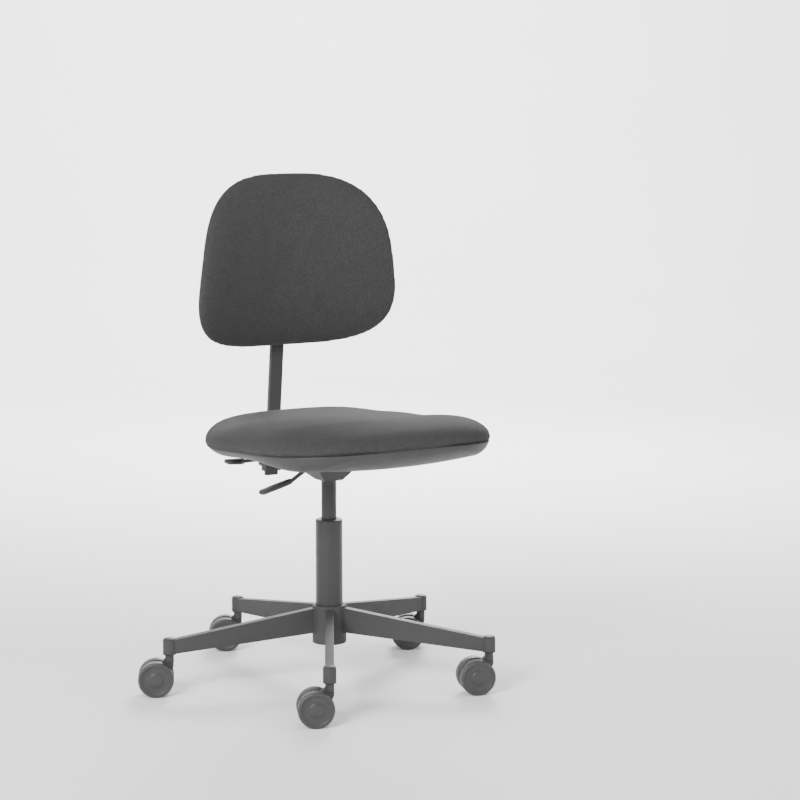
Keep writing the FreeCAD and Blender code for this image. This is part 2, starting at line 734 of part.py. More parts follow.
def funnel(half_mouth, half, front, rear, bottom, knee, top):
    """Pressed pan: a square mouth that widens to a rectangle, then straight walls."""
    sections = [rectangle(half_mouth, half_mouth, half_mouth, bottom),
                rectangle(half, front, rear, knee), rectangle(half, front, rear, top)]
    return Part.makeLoft(sections, True, True)


def make_mechanism():
    top = value("board_bottom") + value("seat_crown")
    pan = shaped("mechanism_pan", funnel(
        value("mouth_half"), value("mechanism_half"), value("mechanism_front"), value("mechanism_rear"),
        value("mechanism_bottom"), value("mechanism_knee"), top))
    cave = shaped("mechanism_cave", funnel(
        value("cave_mouth_half"), value("cave_half"), value("cave_front"), value("cave_rear"),
        value("cave_bottom"), value("mechanism_knee"), top))
    hole = rod("mechanism_hole", "taper_hole", "taper_length", at(0, 0, value("mechanism_bottom")))
    slots = [lever_slot("height_slot", 0, value("lever_shaft_z")),
             lever_slot("tilt_slot", value("tilt_lever_y"), value("tilt_knee_z"))]
    shaft_hole = on_shaft("pan_shaft_hole", "lever_shaft_hole", "lever_shaft_length", "lever_shaft_start")
    trim = above_plate("mechanism_trim")
    node(cut("mechanism_housing", pan, cave, hole, shaft_hole, trim, *slots), "mechanism_housing")
    shaft = on_shaft("lever_shaft", "lever_shaft_radius", "lever_shaft_length", "lever_shaft_start")
    node(shaft, "lever_shaft")
    node(turned("taper_socket", [
        ("taper_bore_low", "mechanism_bottom"), ("taper_outer", "mechanism_bottom"),
        ("taper_outer", "taper_lip_top"), ("taper_bore_high", "taper_lip_top")]), "taper_socket")


def on_shaft(name, radius, length, ahead):
    """A cylinder along Y on the axis that both levers turn on, from a distance ahead of the middle."""
    start = Vector(-value("lever_shaft_x"), -value(ahead), value("lever_shaft_z"))
    return rod(name, radius, length, Placement(start, TOWARD_REAR))


def lever_slot(name, middle, height):
    """Opening in the right wall of the pan that a lever passes through."""
    half = value("lever_half") + value("sliding_gap")
    room = value("lever_slot_play") + value("lever_half")
    wall = value("mechanism_half")
    depth = value("mechanism_wall") + value("lever_section")
    return block(name, (-wall - depth, middle - half, height - 2 * room),
                 (-wall + depth, middle + half, height + room))


def seat_rise(share):
    """How far the seat's middle turns up toward its front, at share 1, and its rear, at share -1."""
    flat = value("seat_flat_share")
    end_rise = value("seat_front_rise" if share > 0 else "seat_rear_rise")
    return end_rise * (max(0.0, abs(share) - flat) / (1 - flat)) ** 2


def seat_swell(share):
    """How far the top stands over its even crown: a hollow under the hips and a roll toward the knees."""
    hollow = math.exp(-(share / value("seat_hollow_spread")) ** 2)
    roll = math.exp(-((share - value("seat_roll_place")) / value("seat_roll_spread")) ** 2)
    return value("seat_roll_height") * roll - value("seat_hollow_depth") * hollow


def seat_belly(share):
    """Depth of the underside below the rim: shallow behind, with a smooth step down to a deeper front."""
    start, end = value("seat_belly_start"), value("seat_belly_end")
    part = min(1.0, max(0.0, (share - start) / (end - start)))
    rear, front = value("seat_belly_rear"), value("seat_belly_front")
    return rear + (front - rear) * part * part * (3 - 2 * part)


def seat_section(ahead, inset):
    """Outline of the seat form across the chair, at one distance ahead of the seat's centre."""
    half_width = value("seat_width") / 2 - inset
    half_depth = value("seat_depth") / 2 - inset
    power = value("seat_squareness")
    share = abs(ahead) / half_depth
    half = half_width * (1 - share ** power) ** (1 / power)
    middle = value("seat_mid_height") + seat_rise(ahead / half_depth)
    crown = value("seat_crown") + seat_swell(ahead / half_depth) - inset
    belly = seat_belly(ahead / half_depth) - inset

    def point(fraction, rise):
        across = fraction * half
        rim = (abs(across / half_width) ** power + share ** power) ** (1 / power)
        bulge = 0 if abs(fraction) == 1 else math.sqrt(max(0.0, 1 - rim ** EDGE_POWER))
        return Vector(across, -value("seat_offset") - ahead, middle + rise * bulge)

    return ring(point, crown, -belly)


def arc(*points):
    return Part.Arc(*points).toShape()


def line(first, last):
    return Part.LineSegment(first, last).toShape()


def ring(point, upper, lower):
    """Closed outline of six arcs through a pad's section."""
    edges = [
        arc(point(1, upper), point(EDGE_BEND, upper), point(EDGE_END, upper)),
        arc(point(EDGE_END, upper), point(0, upper), point(-EDGE_END, upper)),
        arc(point(-EDGE_END, upper), point(-EDGE_BEND, upper), point(-1, upper)),
        arc(point(-1, lower), point(-EDGE_BEND, lower), point(-EDGE_END, lower)),
        arc(point(-EDGE_END, lower), point(0, lower), point(EDGE_END, lower)),
        arc(point(EDGE_END, lower), point(EDGE_BEND, lower), point(1, lower)),
    ]
    return Part.Wire(edges)


def stations(half, reach=SECTION_REACH):
    """Distances from the middle to both ends, closer together toward the ends."""
    count = SECTIONS_PER_SIDE
    return [half * reach * math.sin(math.pi / 2 * index / count) for index in range(-count, count + 1)]


def seat_form(name, inset):
    """Closed crowned form of the whole seat pad, drawn in at its sides."""
    half_depth = value("seat_depth") / 2 - inset
    sections = [seat_section(ahead, inset) for ahead in stations(half_depth)]
    return shaped(name, Part.makeLoft(sections, True))


def board_prism(name, grow):
    """Upright prism with the board's round-cornered outline, as tall as the pad."""
    half = value("board_half") + grow
    front = value("board_front") + grow
    rear = value("board_rear") + grow
    tall = value("seat_crown")
    blank = Part.makeBox(2 * half, front + rear, 2 * tall, Vector(-half, -front, -tall))
    upright = [edge for edge in blank.Edges if along(Z_AXIS)(edge)]
    return shaped(name, blank.makeFillet(value("board_corner") + grow, upright))


def bent_line(height):
    """Line along the seat at one height, front to rear: flat in its middle, parabolas up to both ends."""
    half_depth = value("seat_depth") / 2

    def point(share, rise):
        return Vector(-value("seat_width"), -value("seat_offset") - share * half_depth, height + rise)

    flat = value("seat_flat_share")
    halfway = (flat + LAYER_REACH) / 2
    front, rear = Part.BezierCurve(), Part.BezierCurve()
    front.setPoles([point(LAYER_REACH, seat_rise(LAYER_REACH)), point(halfway, 0), point(flat, 0)])
    rear.setPoles([point(-flat, 0), point(-halfway, 0), point(-LAYER_REACH, seat_rise(-LAYER_REACH))])
    return [front.toShape(), line(point(flat, 0), point(-flat, 0)), rear.toShape()]


def bent_layer(name, low, high):
    """Layer between two heights that bends up with the seat's ends, wider than the pad."""
    lower, upper = bent_line(low), bent_line(high)
    ends = [line(lower[side].Vertexes[side].Point, upper[side].Vertexes[side].Point) for side in (0, -1)]
    face = Part.Face(Part.Wire(Part.__sortEdges__(lower + upper + ends)))
    return shaped(name, face.extrude(Vector(2 * value("seat_width"), 0, 0)))


def seat_points(half, front, rear):
    """Four corners of a rectangle in the seat frame; front is toward -Y."""
    return [(-half, -front), (half, -front), (half, rear), (-half, rear)]


def bolt_places():
    inset = value("plate_bolt_inset")
    half = value("plate_width") / 2 - inset
    return seat_points(half, value("plate_front") - inset, value("plate_rear") - inset)


def insert_places():
    front = value("insert_front") + value("insert_spacing")
    return seat_points(value("insert_spread"), front, -value("insert_front"))


def drills(name, radius, places, low, high):
    """Upright cylinders in the seat frame, one at each place."""
    pieces = []
    for x, y in places:
        hole = fresh("Part::Cylinder", name)
        hole.Radius = radius
        hole.Height = high - low
        hole.Placement = at(x, y, low)
        pieces.append(hole)
    return pieces


def make_seat():
    """Plate, moulded board, cushion, underside shell and their fasteners, all in the sloping frame."""
    frame = seat_frame()
    thickness = value("board_thickness")
    plate = value("plate_thickness")
    gap = value("soft_gap")
    bolt_hole = value("bolt_hole")
    deep = value("seat_crown") * 2

    plate_blank = block("seat_plate_blank", (-value("plate_width") / 2, -value("plate_front"), -plate),
                        (value("plate_width") / 2, value("plate_rear"), 0))
    holes = drills("plate_hole", bolt_hole, bolt_places(), -plate, 0)
    node(cut("seat_plate", plate_blank, *holes), "seat_plate", frame)

    layer = bent_layer("board_layer", 0, thickness)
    board_blank = common("seat_board_blank", layer, board_prism("board_outline", 0))
    holes = drills("board_hole", bolt_hole, bolt_places(), 0, 2 * thickness)
    holes += drills("insert_hole", value("insert_hole"), insert_places(), 0, thickness)
    node(cut("seat_board", board_blank, *holes), "seat_board", frame)

    layer = bent_layer("cushion_layer", thickness + gap, deep)
    node(common("seat_cushion", seat_form("seat_pad_form", 0), layer), "seat_cushion", frame)

    window = block("shell_window", (-value("window_half"), -value("window_front"), -deep),
                   (value("window_half"), value("window_rear"), deep))
    upper = bent_layer("shell_trim", thickness, deep)
    room = common("board_room", bent_layer("room_layer", -gap, deep), board_prism("room_outline", gap))
    form = seat_form("seat_shell_form", 0)
    cave = seat_form("seat_shell_cave", value("seat_shell_wall"))
    node(cut("seat_shell", form, cave, upper, room, window), "seat_shell", frame)

    bolts = []
    head = value("bolt_head_height")
    for x, y in bolt_places():
        shank = bind(fresh("Part::Cylinder", "bolt_shank"), Radius="bolt_radius")
        shank.Height = plate + thickness - gap
        shank.Placement = at(x, y, -plate)
        cap = fresh("Part::Cylinder", "bolt_head")
        cap.setExpression("Radius", "sizes.bolt_head_diameter / 2")
        cap.Height = head
        cap.Placement = at(x, y, -plate - head)
        bolts.append(fused("seat_bolt", shank, cap))
    node(group("seat_bolts", bolts), "seat_bolts", frame)

    inserts = []
    for x, y in insert_places():
        barrel = rod("insert_barrel", "insert_radius", "insert_length", at(x, y, 0))
        bore = rod("insert_bore_space", "insert_radius", "insert_length", at(x, y, 0))
        bore.setExpression("Radius", "sizes.insert_bore / 2")
        inserts.append(cut("armrest_insert", barrel, bore))
    node(group("armrest_inserts", inserts), "armrest_inserts", frame)


def bar(name, path, thickness, width):
    """Flat bar of even thickness along a path of (x, z) points, padded evenly along Y."""
    half = thickness / 2
    upper, lower = [], []
    for index, (x, z) in enumerate(path):
        before = path[max(index - 1, 0)]
        after = path[min(index + 1, len(path) - 1)]
        run = Vector(after[0] - before[0], 0, after[1] - before[1]).normalize()
        side = Vector(-run.z, 0, run.x) * half
        upper.append(Vector(x, -width / 2, z) + side)
        lower.append(Vector(x, -width / 2, z) - side)
    corners = upper + lower[::-1]
    face = Part.Face(Part.makePolygon(corners + corners[:1]))
    return shaped(name, face.extrude(Vector(0, width, 0)))


def make_lever(name, path, tip, grip_name, grip_width):
    """Steel bar along a path, bored for the lever shaft, with a moulded paddle grip over its last stretch."""
    section = value("lever_section")
    room = section + 2 * value("press_gap")
    neck = path[-1]
    run = Vector(tip[0] - neck[0], 0, tip[1] - neck[1]).normalize() * value("grip_overlap")
    buried = path + [(neck[0] + run.x, neck[1] + run.z)]
    paddle = bar(grip_name + "_blank", [neck, tip], value("grip_thickness"), grip_width)
    boss = on_shaft(name + "_boss", "lever_boss_radius", "lever_boss_length", "lever_boss_start")
    bore = on_shaft(name + "_bore", "lever_bore", "lever_boss_length", "lever_boss_start")
    lever = cut(name, fused(name + "_blank", bar(name + "_bar", buried, section, section), boss), bore)
    return lever, cut(grip_name, paddle, bar(grip_name + "_pocket", buried, room, room))


def make_levers():
    """Height lever over the release pin, and tilt lever behind it, both on the sitter's right."""
    pin = value("pin_radius")
    over_pin = value("pin_top") + value("sliding_gap") + value("lever_half")
    shaft = (-value("lever_shaft_x"), value("lever_shaft_z"))
    path = [(pin, over_pin), (-pin, over_pin), shaft, (-value("height_neck_x"), value("height_neck_z"))]
    tip = (-value("height_tip_x"), value("height_tip_z"))
    lever, grip = make_lever("height_lever", path, tip, "height_grip", value("height_grip_width"))
    node(lever, "height_lever")
    node(grip, "height_grip")

    place = at(0, value("tilt_lever_y"), 0)
    path = [(-value("tilt_root_x"), value("lever_shaft_z")), shaft,
            (-value("tilt_knee_x"), value("tilt_knee_z")), (-value("tilt_neck_x"), value("tilt_neck_z"))]
    tip = (-value("tilt_tip_x"), value("tilt_tip_z"))
    lever, grip = make_lever("tilt_lever", path, tip, "tilt_grip", value("tilt_grip_width"))
    node(lever, "tilt_lever", place)
    node(grip, "tilt_grip", place)


def cross_rod(name, radius, length, y, z):
    """A cylinder along X, centred on the chair's middle plane."""
    cylinder = bind(fresh("Part::Cylinder", name), Radius=radius, Height=length)
    cylinder.Placement = Placement(Vector(-value(length) / 2, value(y), value(z)), TOWARD_LEFT)
    return cylinder


def fluted_knob(name, diameter, length, stud_length, place):
    """Hand knob with scalloped grip and a moulded-in stud in front of it; Z runs out of the grip."""
    radius = value(diameter) / 2
    grip = fresh("Part::Cylinder", name + "_grip")
    grip.setExpression("Radius", formula(diameter) + " / 2")
    bind(grip, Height=length)
    flutes = []
    count = int(value("knob_flutes"))
    flute = value("knob_flute_diameter") / 2
    for index in range(count):
        angle = 2 * math.pi * index / count
        away = radius + flute / 2
        scallop = fresh("Part::Cylinder", name + "_flute")
        scallop.setExpression("Radius", "sizes.knob_flute_diameter / 2")
        bind(scallop, Height=length)
        scallop.Placement = at(away * math.cos(angle), away * math.sin(angle), 0)
        flutes.append(scallop)
    stud = fresh("Part::Cylinder", name + "_stud")
    bind(stud, Radius="knob_stud_radius")
    stud.Height = stud_length + value("knob_neck")
    stud.Placement = at(0, 0, -stud_length)
    knob = fused(name, cut(name + "_head", grip, *flutes), stud)
    knob.Placement = place
    return knob


def make_back_support():
    """Fixed bracket with its fork, tilting holder on a pin, and the cranked upright."""
    bracket = slab("bracket_beam", "YZ_Plane", [
        ("mechanism_rear", "bracket_bottom"), ("bracket_end", "bracket_end_bottom"),
        ("bracket_end", "bracket_end_top"), ("mechanism_rear", "bracket_top")], "bracket_width")
    gap = value("fork_gap") / 2
    tall = value("pivot_z")
    fork = block("bracket_fork", (-gap, value("fork_start"), 0), (gap, value("bracket_end") + gap, 2 * tall))
    pin_hole = cross_rod("bracket_pin_hole", "pivot_radius", "bracket_width", "pivot_y", "pivot_z")
    pin_hole.setExpression("Radius", "derived.pivot_radius + sizes.press_gap")
    node(cut("back_bracket", bracket, fork, pin_hole), "back_bracket")
    node(cross_rod("tilt_pin", "pivot_radius", "bracket_width", "pivot_y", "pivot_z"), "tilt_pin")

    sleeve = slab("holder_sleeve", "YZ_Plane", [
        ("holder_low_rear", "holder_bottom"), ("holder_high_rear", "holder_top"),
        ("holder_high_front", "holder_top"), ("holder_low_front", "holder_bottom")], "holder_width")
    knuckle = cross_rod("holder_knuckle", "tongue_radius", "tongue_width", "pivot_y", "pivot_z")
    tongue = slab("holder_tongue", "YZ_Plane", [
        ("pivot_y", "tongue_low"), ("holder_high_y", "tongue_low"),
        ("holder_high_y", "tongue_high"), ("pivot_y", "tongue_high")], "tongue_width")
    bush_hole = cross_rod("holder_bush_hole", "tongue_bore", "tongue_width", "pivot_y", "pivot_z")
    post_space = slab("holder_slot", "YZ_Plane", [
        ("slot_rear_foot", "post_foot_z"), ("slot_rear", "post_bend_z"),
        ("slot_front", "post_bend_z"), ("slot_front_foot", "post_foot_z")], "slot_width")
    stud_hole = rod("holder_stud_hole", "knob_stud_hole", "post_foot_y",
                    Placement(Vector(0, value("knob_y"), value("angle_knob_z")), TOWARD_REAR))
    holder = fused("holder_blank", sleeve, knuckle, tongue)
    node(cut("back_holder", holder, bush_hole, post_space, stud_hole), "back_holder")

    bush_bore = cross_rod("tilt_bush_space", "tilt_bush_bore", "tongue_width", "pivot_y", "pivot_z")
    bush = cross_rod("tilt_bush_blank", "tilt_bush_radius", "tongue_width", "pivot_y", "pivot_z")
    node(cut("tilt_bush", bush, bush_bore), "tilt_bush")

    upright = slab("post_bar", "YZ_Plane", [
        ("post_rear_foot", "post_foot_z"), ("post_rear", "post_bend_z"), ("post_rear", "post_top_z"),
        ("post_front", "post_top_z"), ("post_front", "post_bend_z"), ("post_front_foot", "post_foot_z")],
        "post_width")
    post_hole = rod("post_stud_hole", "knob_stud_hole", "post_foot_y",
                    Placement(Vector(0, value("knob_y"), value("angle_knob_z")), TOWARD_REAR))
    node(cut("back_post", upright, post_hole), "back_post")

    stud = value("holder_half") + value("knob_neck")
    knob_front = Vector(0, value("knob_y") + stud, value("angle_knob_z"))
    node(fluted_knob("angle_knob", "angle_knob_diameter", "angle_knob_length", stud,
                     Placement(knob_front, TOWARD_REAR)), "angle_knob")


def back_y(across, up):
    """Depth of the backrest's middle surface: wrapped round the sitter, with a lumbar swell."""
    lean = value("back_lean") * up
    return (value("back_mid_y") - lean + value("back_lumbar") * up ** 2
            - value("back_wrap") * across ** 2)


def back_half(up, share):
    """Half width of the back's outline at one height, for an outline drawn in to a share."""
    tall = value("back_height") / 2 * share
    power = value("back_squareness_top" if up > 0 else "back_squareness_bottom")
    taper = 1 - value("back_taper") * up / tall
    return value("back_width") / 2 * share * taper * (1 - abs(up / tall) ** power) ** (1 / power)


def back_bulge(across, up):
    """Share of the full thickness left at one place: one in the middle, nothing at the rim."""
    tall = value("back_height") / 2
    power = value("back_squareness_top" if up > 0 else "back_squareness_bottom")
    wide = value("back_width") / 2 * (1 - value("back_taper") * up / tall)
    rim = abs(across / wide) ** power + abs(up / tall) ** power
    return math.sqrt(max(0.0, 1 - rim ** (EDGE_POWER / power)))


def back_point(across, up, behind):
    return Vector(across, back_y(across, up) + behind, value("back_mid_z") + up)


def back_pad(name, behind):
    """Crowned front of the backrest down to a flat-sided rear."""
    half_thickness = value("back_thickness") / 2
    sections = []
    for up in stations(value("back_height") / 2):
        half = back_half(up, 1)

        def point(fraction, depth):
            across = fraction * half
            bulge = 0 if abs(fraction) == 1 else back_bulge(across, up)
            return back_point(across, up, depth * bulge)

        corner = half * EDGE_CORNER
        front = -half_thickness
        edges = [
            arc(point(1, front), point(EDGE_BEND, front), point(EDGE_END, front)),
            arc(point(EDGE_END, front), point(0, front), point(-EDGE_END, front)),
            arc(point(-EDGE_END, front), point(-EDGE_BEND, front), point(-1, front)),
            line(back_point(-half, up, 0), back_point(-corner, up, behind)),
            arc(back_point(-corner, up, behind), back_point(0, up, behind), back_point(corner, up, behind)),
            line(back_point(corner, up, behind), back_point(half, up, 0)),
        ]
        sections.append(Part.Wire(edges))
    return shaped(name, Part.makeLoft(sections, True))


def back_strip(name, share, near, far, grow=0):
    """Curved panel of the back between two depths behind its middle surface; far None is the rounded rear.

    With grow, the panel stands that much out from its own outline and rounded rear.
    """
    tall = value("back_height") / 2 * share + grow
    sections = []
    for up in stations(tall):
        half = back_half(up * (tall - grow) / tall, share) + grow

        def rear(fraction):
            across = fraction * half
            depth = far if far is not None else value("back_thickness") / 2 * back_bulge(across, up) + grow
            return back_point(across, up, depth)

        edges = [
            line(back_point(half, up, near), rear(1)),
            arc(rear(1), rear(EDGE_BEND), rear(EDGE_END)),
            arc(rear(EDGE_END), rear(0), rear(-EDGE_END)),
            arc(rear(-EDGE_END), rear(-EDGE_BEND), rear(-1)),
            line(rear(-1), back_point(-half, up, near)),
            arc(back_point(-half, up, near), back_point(0, up, near), back_point(half, up, near)),
        ]
        sections.append(Part.Wire(edges))
    return shaped(name, Part.makeLoft(sections, True))


def make_backrest():
    """Cushion, inner board, rear shell and the carrier that slides on the upright."""
    gap = value("soft_gap")
    cushion_rear = value("cushion_rear")
    board_near = cushion_rear + value("back_board_gap")
    board_far = board_near + value("back_board_thickness")
    board_share = value("back_board_share")
    node(back_pad("back_cushion", cushion_rear), "back_cushion")

    screws, holes = [], []
    low_screw = value("carrier_mid_z") - value("carrier_screw_rise") / 2
    for x in (-value("carrier_screw_spread") / 2, value("carrier_screw_spread") / 2):
        for z in (low_screw, low_screw + value("carrier_screw_rise")):
            start = Vector(x, back_y(x, z - value("back_mid_z")) + board_near + gap, z)
            for name, radius, pieces in (("carrier_screw", "carrier_screw_radius", screws),
                                         ("screw_hole", "carrier_screw_hole", holes)):
                piece = bind(fresh("Part::Cylinder", name), Radius=radius)
                piece.Height = value("carrier_rear") - start.y
                piece.Placement = Placement(start, TOWARD_REAR)
                pieces.append(piece)
    drilled = fused("carrier_holes", *holes)

    panel = back_strip("board_panel", board_share, board_near, board_far)
    node(cut("back_board", panel, drilled), "back_board")
    cave = back_strip("shell_cave", board_share, cushion_rear, board_far + gap, gap)
    shell = back_strip("shell_panel", value("back_shell_share"), board_near, None)
    node(cut("back_shell", shell, cave, drilled), "back_shell")

    top = value("carrier_bottom") + value("carrier_height")
    half = value("carrier_width") / 2
    front = back_y(0, top - value("back_mid_z"))
    blank = block("carrier_blank", (-half, front, value("carrier_bottom")),
                  (half, value("carrier_rear"), top))
    slot_half = value("carrier_slot_width") / 2
    slot_front = value("carrier_slot_y")
    slot = block("carrier_slot", (-slot_half, slot_front, 0),
                 (slot_half, slot_front + value("carrier_slot_depth"), 2 * top))
    stud_hole = rod("carrier_stud_hole", "knob_stud_hole", "carrier_rear",
                    Placement(Vector(0, slot_front, value("carrier_mid_z")), TOWARD_REAR))
    saddle = back_strip("carrier_saddle", value("back_shell_share"), -value("back_thickness"), None, gap)
    node(cut("back_carrier", blank, saddle, slot, stud_hole, drilled), "back_carrier")
    node(group("carrier_screws", screws), "carrier_screws")

    stud = value("carrier_wall") + value("knob_neck") - gap
    knob_front = Vector(0, value("carrier_rear") + value("knob_neck"), value("carrier_mid_z"))
    node(fluted_knob("back_knob", "back_knob_diameter", "back_knob_length", stud,
                     Placement(knob_front, TOWARD_REAR)), "back_knob")


def check_and_write():
    """Stop on any failed or unsound object, then write each sub-part to its own file."""
    doc.recompute()
    for thing in doc.Objects:
        if "Invalid" in thing.State or "Error" in thing.State:
            raise RuntimeError("failed to build: %s" % thing.Name)
    for thing in nodes:
        if thing.Shape.isNull() or not thing.Shape.isValid():
            raise RuntimeError("unsound shape: %s" % thing.Label)
    os.makedirs("parts", exist_ok=True)
    for thing in nodes:
        thing.Shape.exportStep(os.path.join("parts", thing.Label + ".step"))
        print("%-22s %d solids  %.0f mm3" % (thing.Label, len(thing.Shape.Solids), thing.Shape.Volume))


make_casters()
make_base()
make_column()
make_mechanism()
make_seat()
make_levers()
make_back_support()
make_backrest()
check_and_write()
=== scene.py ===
"""Looks of the swivel task chair: pads, wheels, grips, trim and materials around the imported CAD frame.

Row frame in metres: origin on the floor under the column, +Z up. The sitter faces -Y, with +X to their left.
"""
import json
import math

import bmesh
import bpy
import numpy as np
from mathutils import Matrix, Vector
from mathutils.bvhtree import BVHTree


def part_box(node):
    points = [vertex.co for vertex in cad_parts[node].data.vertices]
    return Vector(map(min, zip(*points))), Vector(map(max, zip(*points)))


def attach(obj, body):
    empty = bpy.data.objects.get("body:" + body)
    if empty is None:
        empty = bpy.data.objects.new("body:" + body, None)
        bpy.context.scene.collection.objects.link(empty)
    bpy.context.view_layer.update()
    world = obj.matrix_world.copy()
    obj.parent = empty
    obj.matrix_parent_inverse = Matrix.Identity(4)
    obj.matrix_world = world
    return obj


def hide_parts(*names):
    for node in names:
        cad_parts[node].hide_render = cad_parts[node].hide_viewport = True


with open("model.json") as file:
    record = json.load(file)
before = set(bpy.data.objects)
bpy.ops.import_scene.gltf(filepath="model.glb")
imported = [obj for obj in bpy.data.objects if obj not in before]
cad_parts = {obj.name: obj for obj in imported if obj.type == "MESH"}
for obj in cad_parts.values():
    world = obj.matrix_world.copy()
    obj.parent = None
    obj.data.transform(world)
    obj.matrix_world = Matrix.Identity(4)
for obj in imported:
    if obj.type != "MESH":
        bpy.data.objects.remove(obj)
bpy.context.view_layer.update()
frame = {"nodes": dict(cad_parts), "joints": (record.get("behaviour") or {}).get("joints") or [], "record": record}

# Seat pad, in the sloping frame of the seat, whose origin is above the column under the seat board.
SEAT_ORIGIN = Vector((0, 0, 0.440))
SEAT_SLOPE = math.radians(4.4)
SEAT_HALF = (0.224, 0.2385)     # half its width and half its depth
SEAT_OFFSET = 0.067             # its middle, ahead of the column
SEAT_POWER = 3.5                # squareness of its outline
SEAT_MID = 0.0185               # height of its rim
SEAT_RISE = (0.001, 0.030)      # turn-up of its front and rear ends
SEAT_FLAT = 0.5                 # share of the half depth that isn't turned up
SEAT_CROWN = 0.0395
SEAT_HOLLOW = (0.0045, 0.0, 0.30)   # depth, place and spread of the hollow under the hips
SEAT_ROLL = (0.0035, 0.5, 0.28)     # height, place and spread of the roll toward the knees
SEAT_SPLIT = 0.0126             # height where pad and shell meet
SEAT_SEAM = 0.0012              # welt above that
SEAT_FREE = 0.012               # height above the rim from which the cover is free

# Back pad, about its own middle.
BACK_MID = (0.1523, 0.7754)     # its depth and height in the row frame
BACK_HALF = (0.201, 0.1635)
BACK_POWERS = (3.0, 3.54)       # squareness of its upper and lower half
BACK_TAPER = 0.107
BACK_LEAN = 0.06
BACK_LUMBAR = 0.68
BACK_WRAP = 1.16
BACK_DEPTH = 0.022
BACK_REAR = 0.0062
BACK_SEAM = 0.0042
BACK_FREE = 0.010

# Both pads
EDGE_POWER = 6
RIM_POINTS = 168
TOP_RINGS = (0.14, 0.28, 0.42, 0.55, 0.67, 0.77, 0.85, 0.91, 0.95, 0.976, 0.992)
WELT_RADIUS = 0.0019
WELT_SINK = 0.0006

# Cushion simulation
VOXEL = 0.005
SIM_FRAMES = 20
SIM_CAP = 0.005                 # furthest that a point may move
SIM_SLACK = (0.0015, 0.07)      # how much smaller a pad starts, and how far from its rim
FOAM_HOLD = 0.12                # how firmly the foam holds the cover
CLOTH = {
    "quality": 6, "mass": 0.3, "tension_stiffness": 22, "compression_stiffness": 22, "shear_stiffness": 10,
    "bending_stiffness": 4, "use_pressure": True, "uniform_pressure_force": 4,
}
GATHER = (0.0008, 0.026, 0.0165)    # height, reach from the rim and pitch of the corner gathers

CASTERS = 5
ARM_TURN = -119                 # degrees, first arm of the base
WHEEL_RADIUS = 0.0325
WHEEL_WIDTH = 0.020
SOCKET_TOP = 0.1034
KNOB_CAP_SHARE = 0.56           # of the knob's own radius

VIEW_TURN = math.radians(29)    # the photograph's view, turned from the front


# Small mesh helpers

def mesh_object(name, verts, faces):
    """A smooth-shaded mesh in the scene."""
    mesh = bpy.data.meshes.new(name)
    mesh.from_pydata([tuple(v) for v in verts], [], faces)
    mesh.validate()
    mesh.polygons.foreach_set("use_smooth", [True] * len(mesh.polygons))
    obj = bpy.data.objects.new(name, mesh)
    bpy.context.scene.collection.objects.link(obj)
    return obj


def evenly(points, count):
    """Points spread evenly along a closed polyline."""
    loop = np.vstack([points, points[:1]])
    steps = np.linalg.norm(np.diff(loop, axis=0), axis=1)
    run = np.concatenate([[0], np.cumsum(steps)])
    wanted = np.linspace(0, run[-1], count, endpoint=False)
    return np.stack([np.interp(wanted, run, loop[:, axis]) for axis in range(loop.shape[1])], axis=1)


def tube(name, path, radius, sides=10):
    """A round bead along a closed path of points; radius is a number or one value for each point."""
    path = np.asarray(path, float)
    count = len(path)
    radii = np.broadcast_to(np.asarray(radius, float), (count,))
    run = np.roll(path, -1, axis=0) - np.roll(path, 1, axis=0)
    run /= np.linalg.norm(run, axis=1)[:, None]
    any_way = (0.31, 0.17, 0.93)
    side = np.cross(run[0], any_way)
    verts, faces = [], []
    for point, ahead, size in zip(path, run, radii):
        side = side - ahead * (side @ ahead)
        side /= np.linalg.norm(side)
        up = np.cross(ahead, side)
        for step in range(sides):
            angle = 2 * math.pi * step / sides
            verts.append(point + size * (math.cos(angle) * side + math.sin(angle) * up))
    for ring in range(count):
        near, far = ring * sides, (ring + 1) % count * sides
        for step in range(sides):
            after = (step + 1) % sides
            faces.append((near + step, near + after, far + after, far + step))
    return mesh_object(name, verts, faces)


def lathe(name, profile, steps=72):
    """A closed solid turned about local Z from (radius, height) corners; ends on the axis close it."""
    verts, faces, rings = [], [], []
    for radius, height in profile:
        if radius < 1e-6:
            rings.append([len(verts)])
            verts.append((0, 0, height))
            continue
        rings.append(list(range(len(verts), len(verts) + steps)))
        for step in range(steps):
            angle = 2 * math.pi * step / steps
            verts.append((radius * math.cos(angle), radius * math.sin(angle), height))
    for low, high in zip(rings, rings[1:]):
        for step in range(steps):
            after = (step + 1) % steps
            if len(low) == 1:
                faces.append((low[0], high[after], high[step]))
            elif len(high) == 1:
                faces.append((low[step], low[after], high[0]))
            else:
                faces.append((low[step], low[after], high[after], high[step]))
    return mesh_object(name, verts, faces)


def skin(name, rings):
    """A closed solid over rings of equally many points, with flat ends."""
    sides = len(rings[0])
    verts = [point for ring in rings for point in ring]
    faces = []
    for near in range(0, len(verts) - sides, sides):
        for side in range(sides):
            after = (side + 1) % sides
            faces.append((near + side, near + after, near + sides + after, near + sides + side))
    faces.append(tuple(range(sides))[::-1])
    faces.append(tuple(range(len(verts) - sides, len(verts))))
    return recalculated(mesh_object(name, verts, faces))


def squared_ring(centre, first, second, power, sides):
    """Points of a square-shouldered oval about a centre, from its two half axes."""
    ring = []
    for side in range(sides):
        angle = 2 * math.pi * side / sides
        c, s = math.cos(angle), math.sin(angle)
        size = (abs(c) ** power + abs(s) ** power) ** (-1 / power)
        ring.append(centre + first * (c * size) + second * (s * size))
    return ring


def recalculated(obj):
    """Turn all faces outward."""
    work = bmesh.new()
    work.from_mesh(obj.data)
    bmesh.ops.recalc_face_normals(work, faces=work.faces)
    work.to_mesh(obj.data)
    work.free()
    return obj


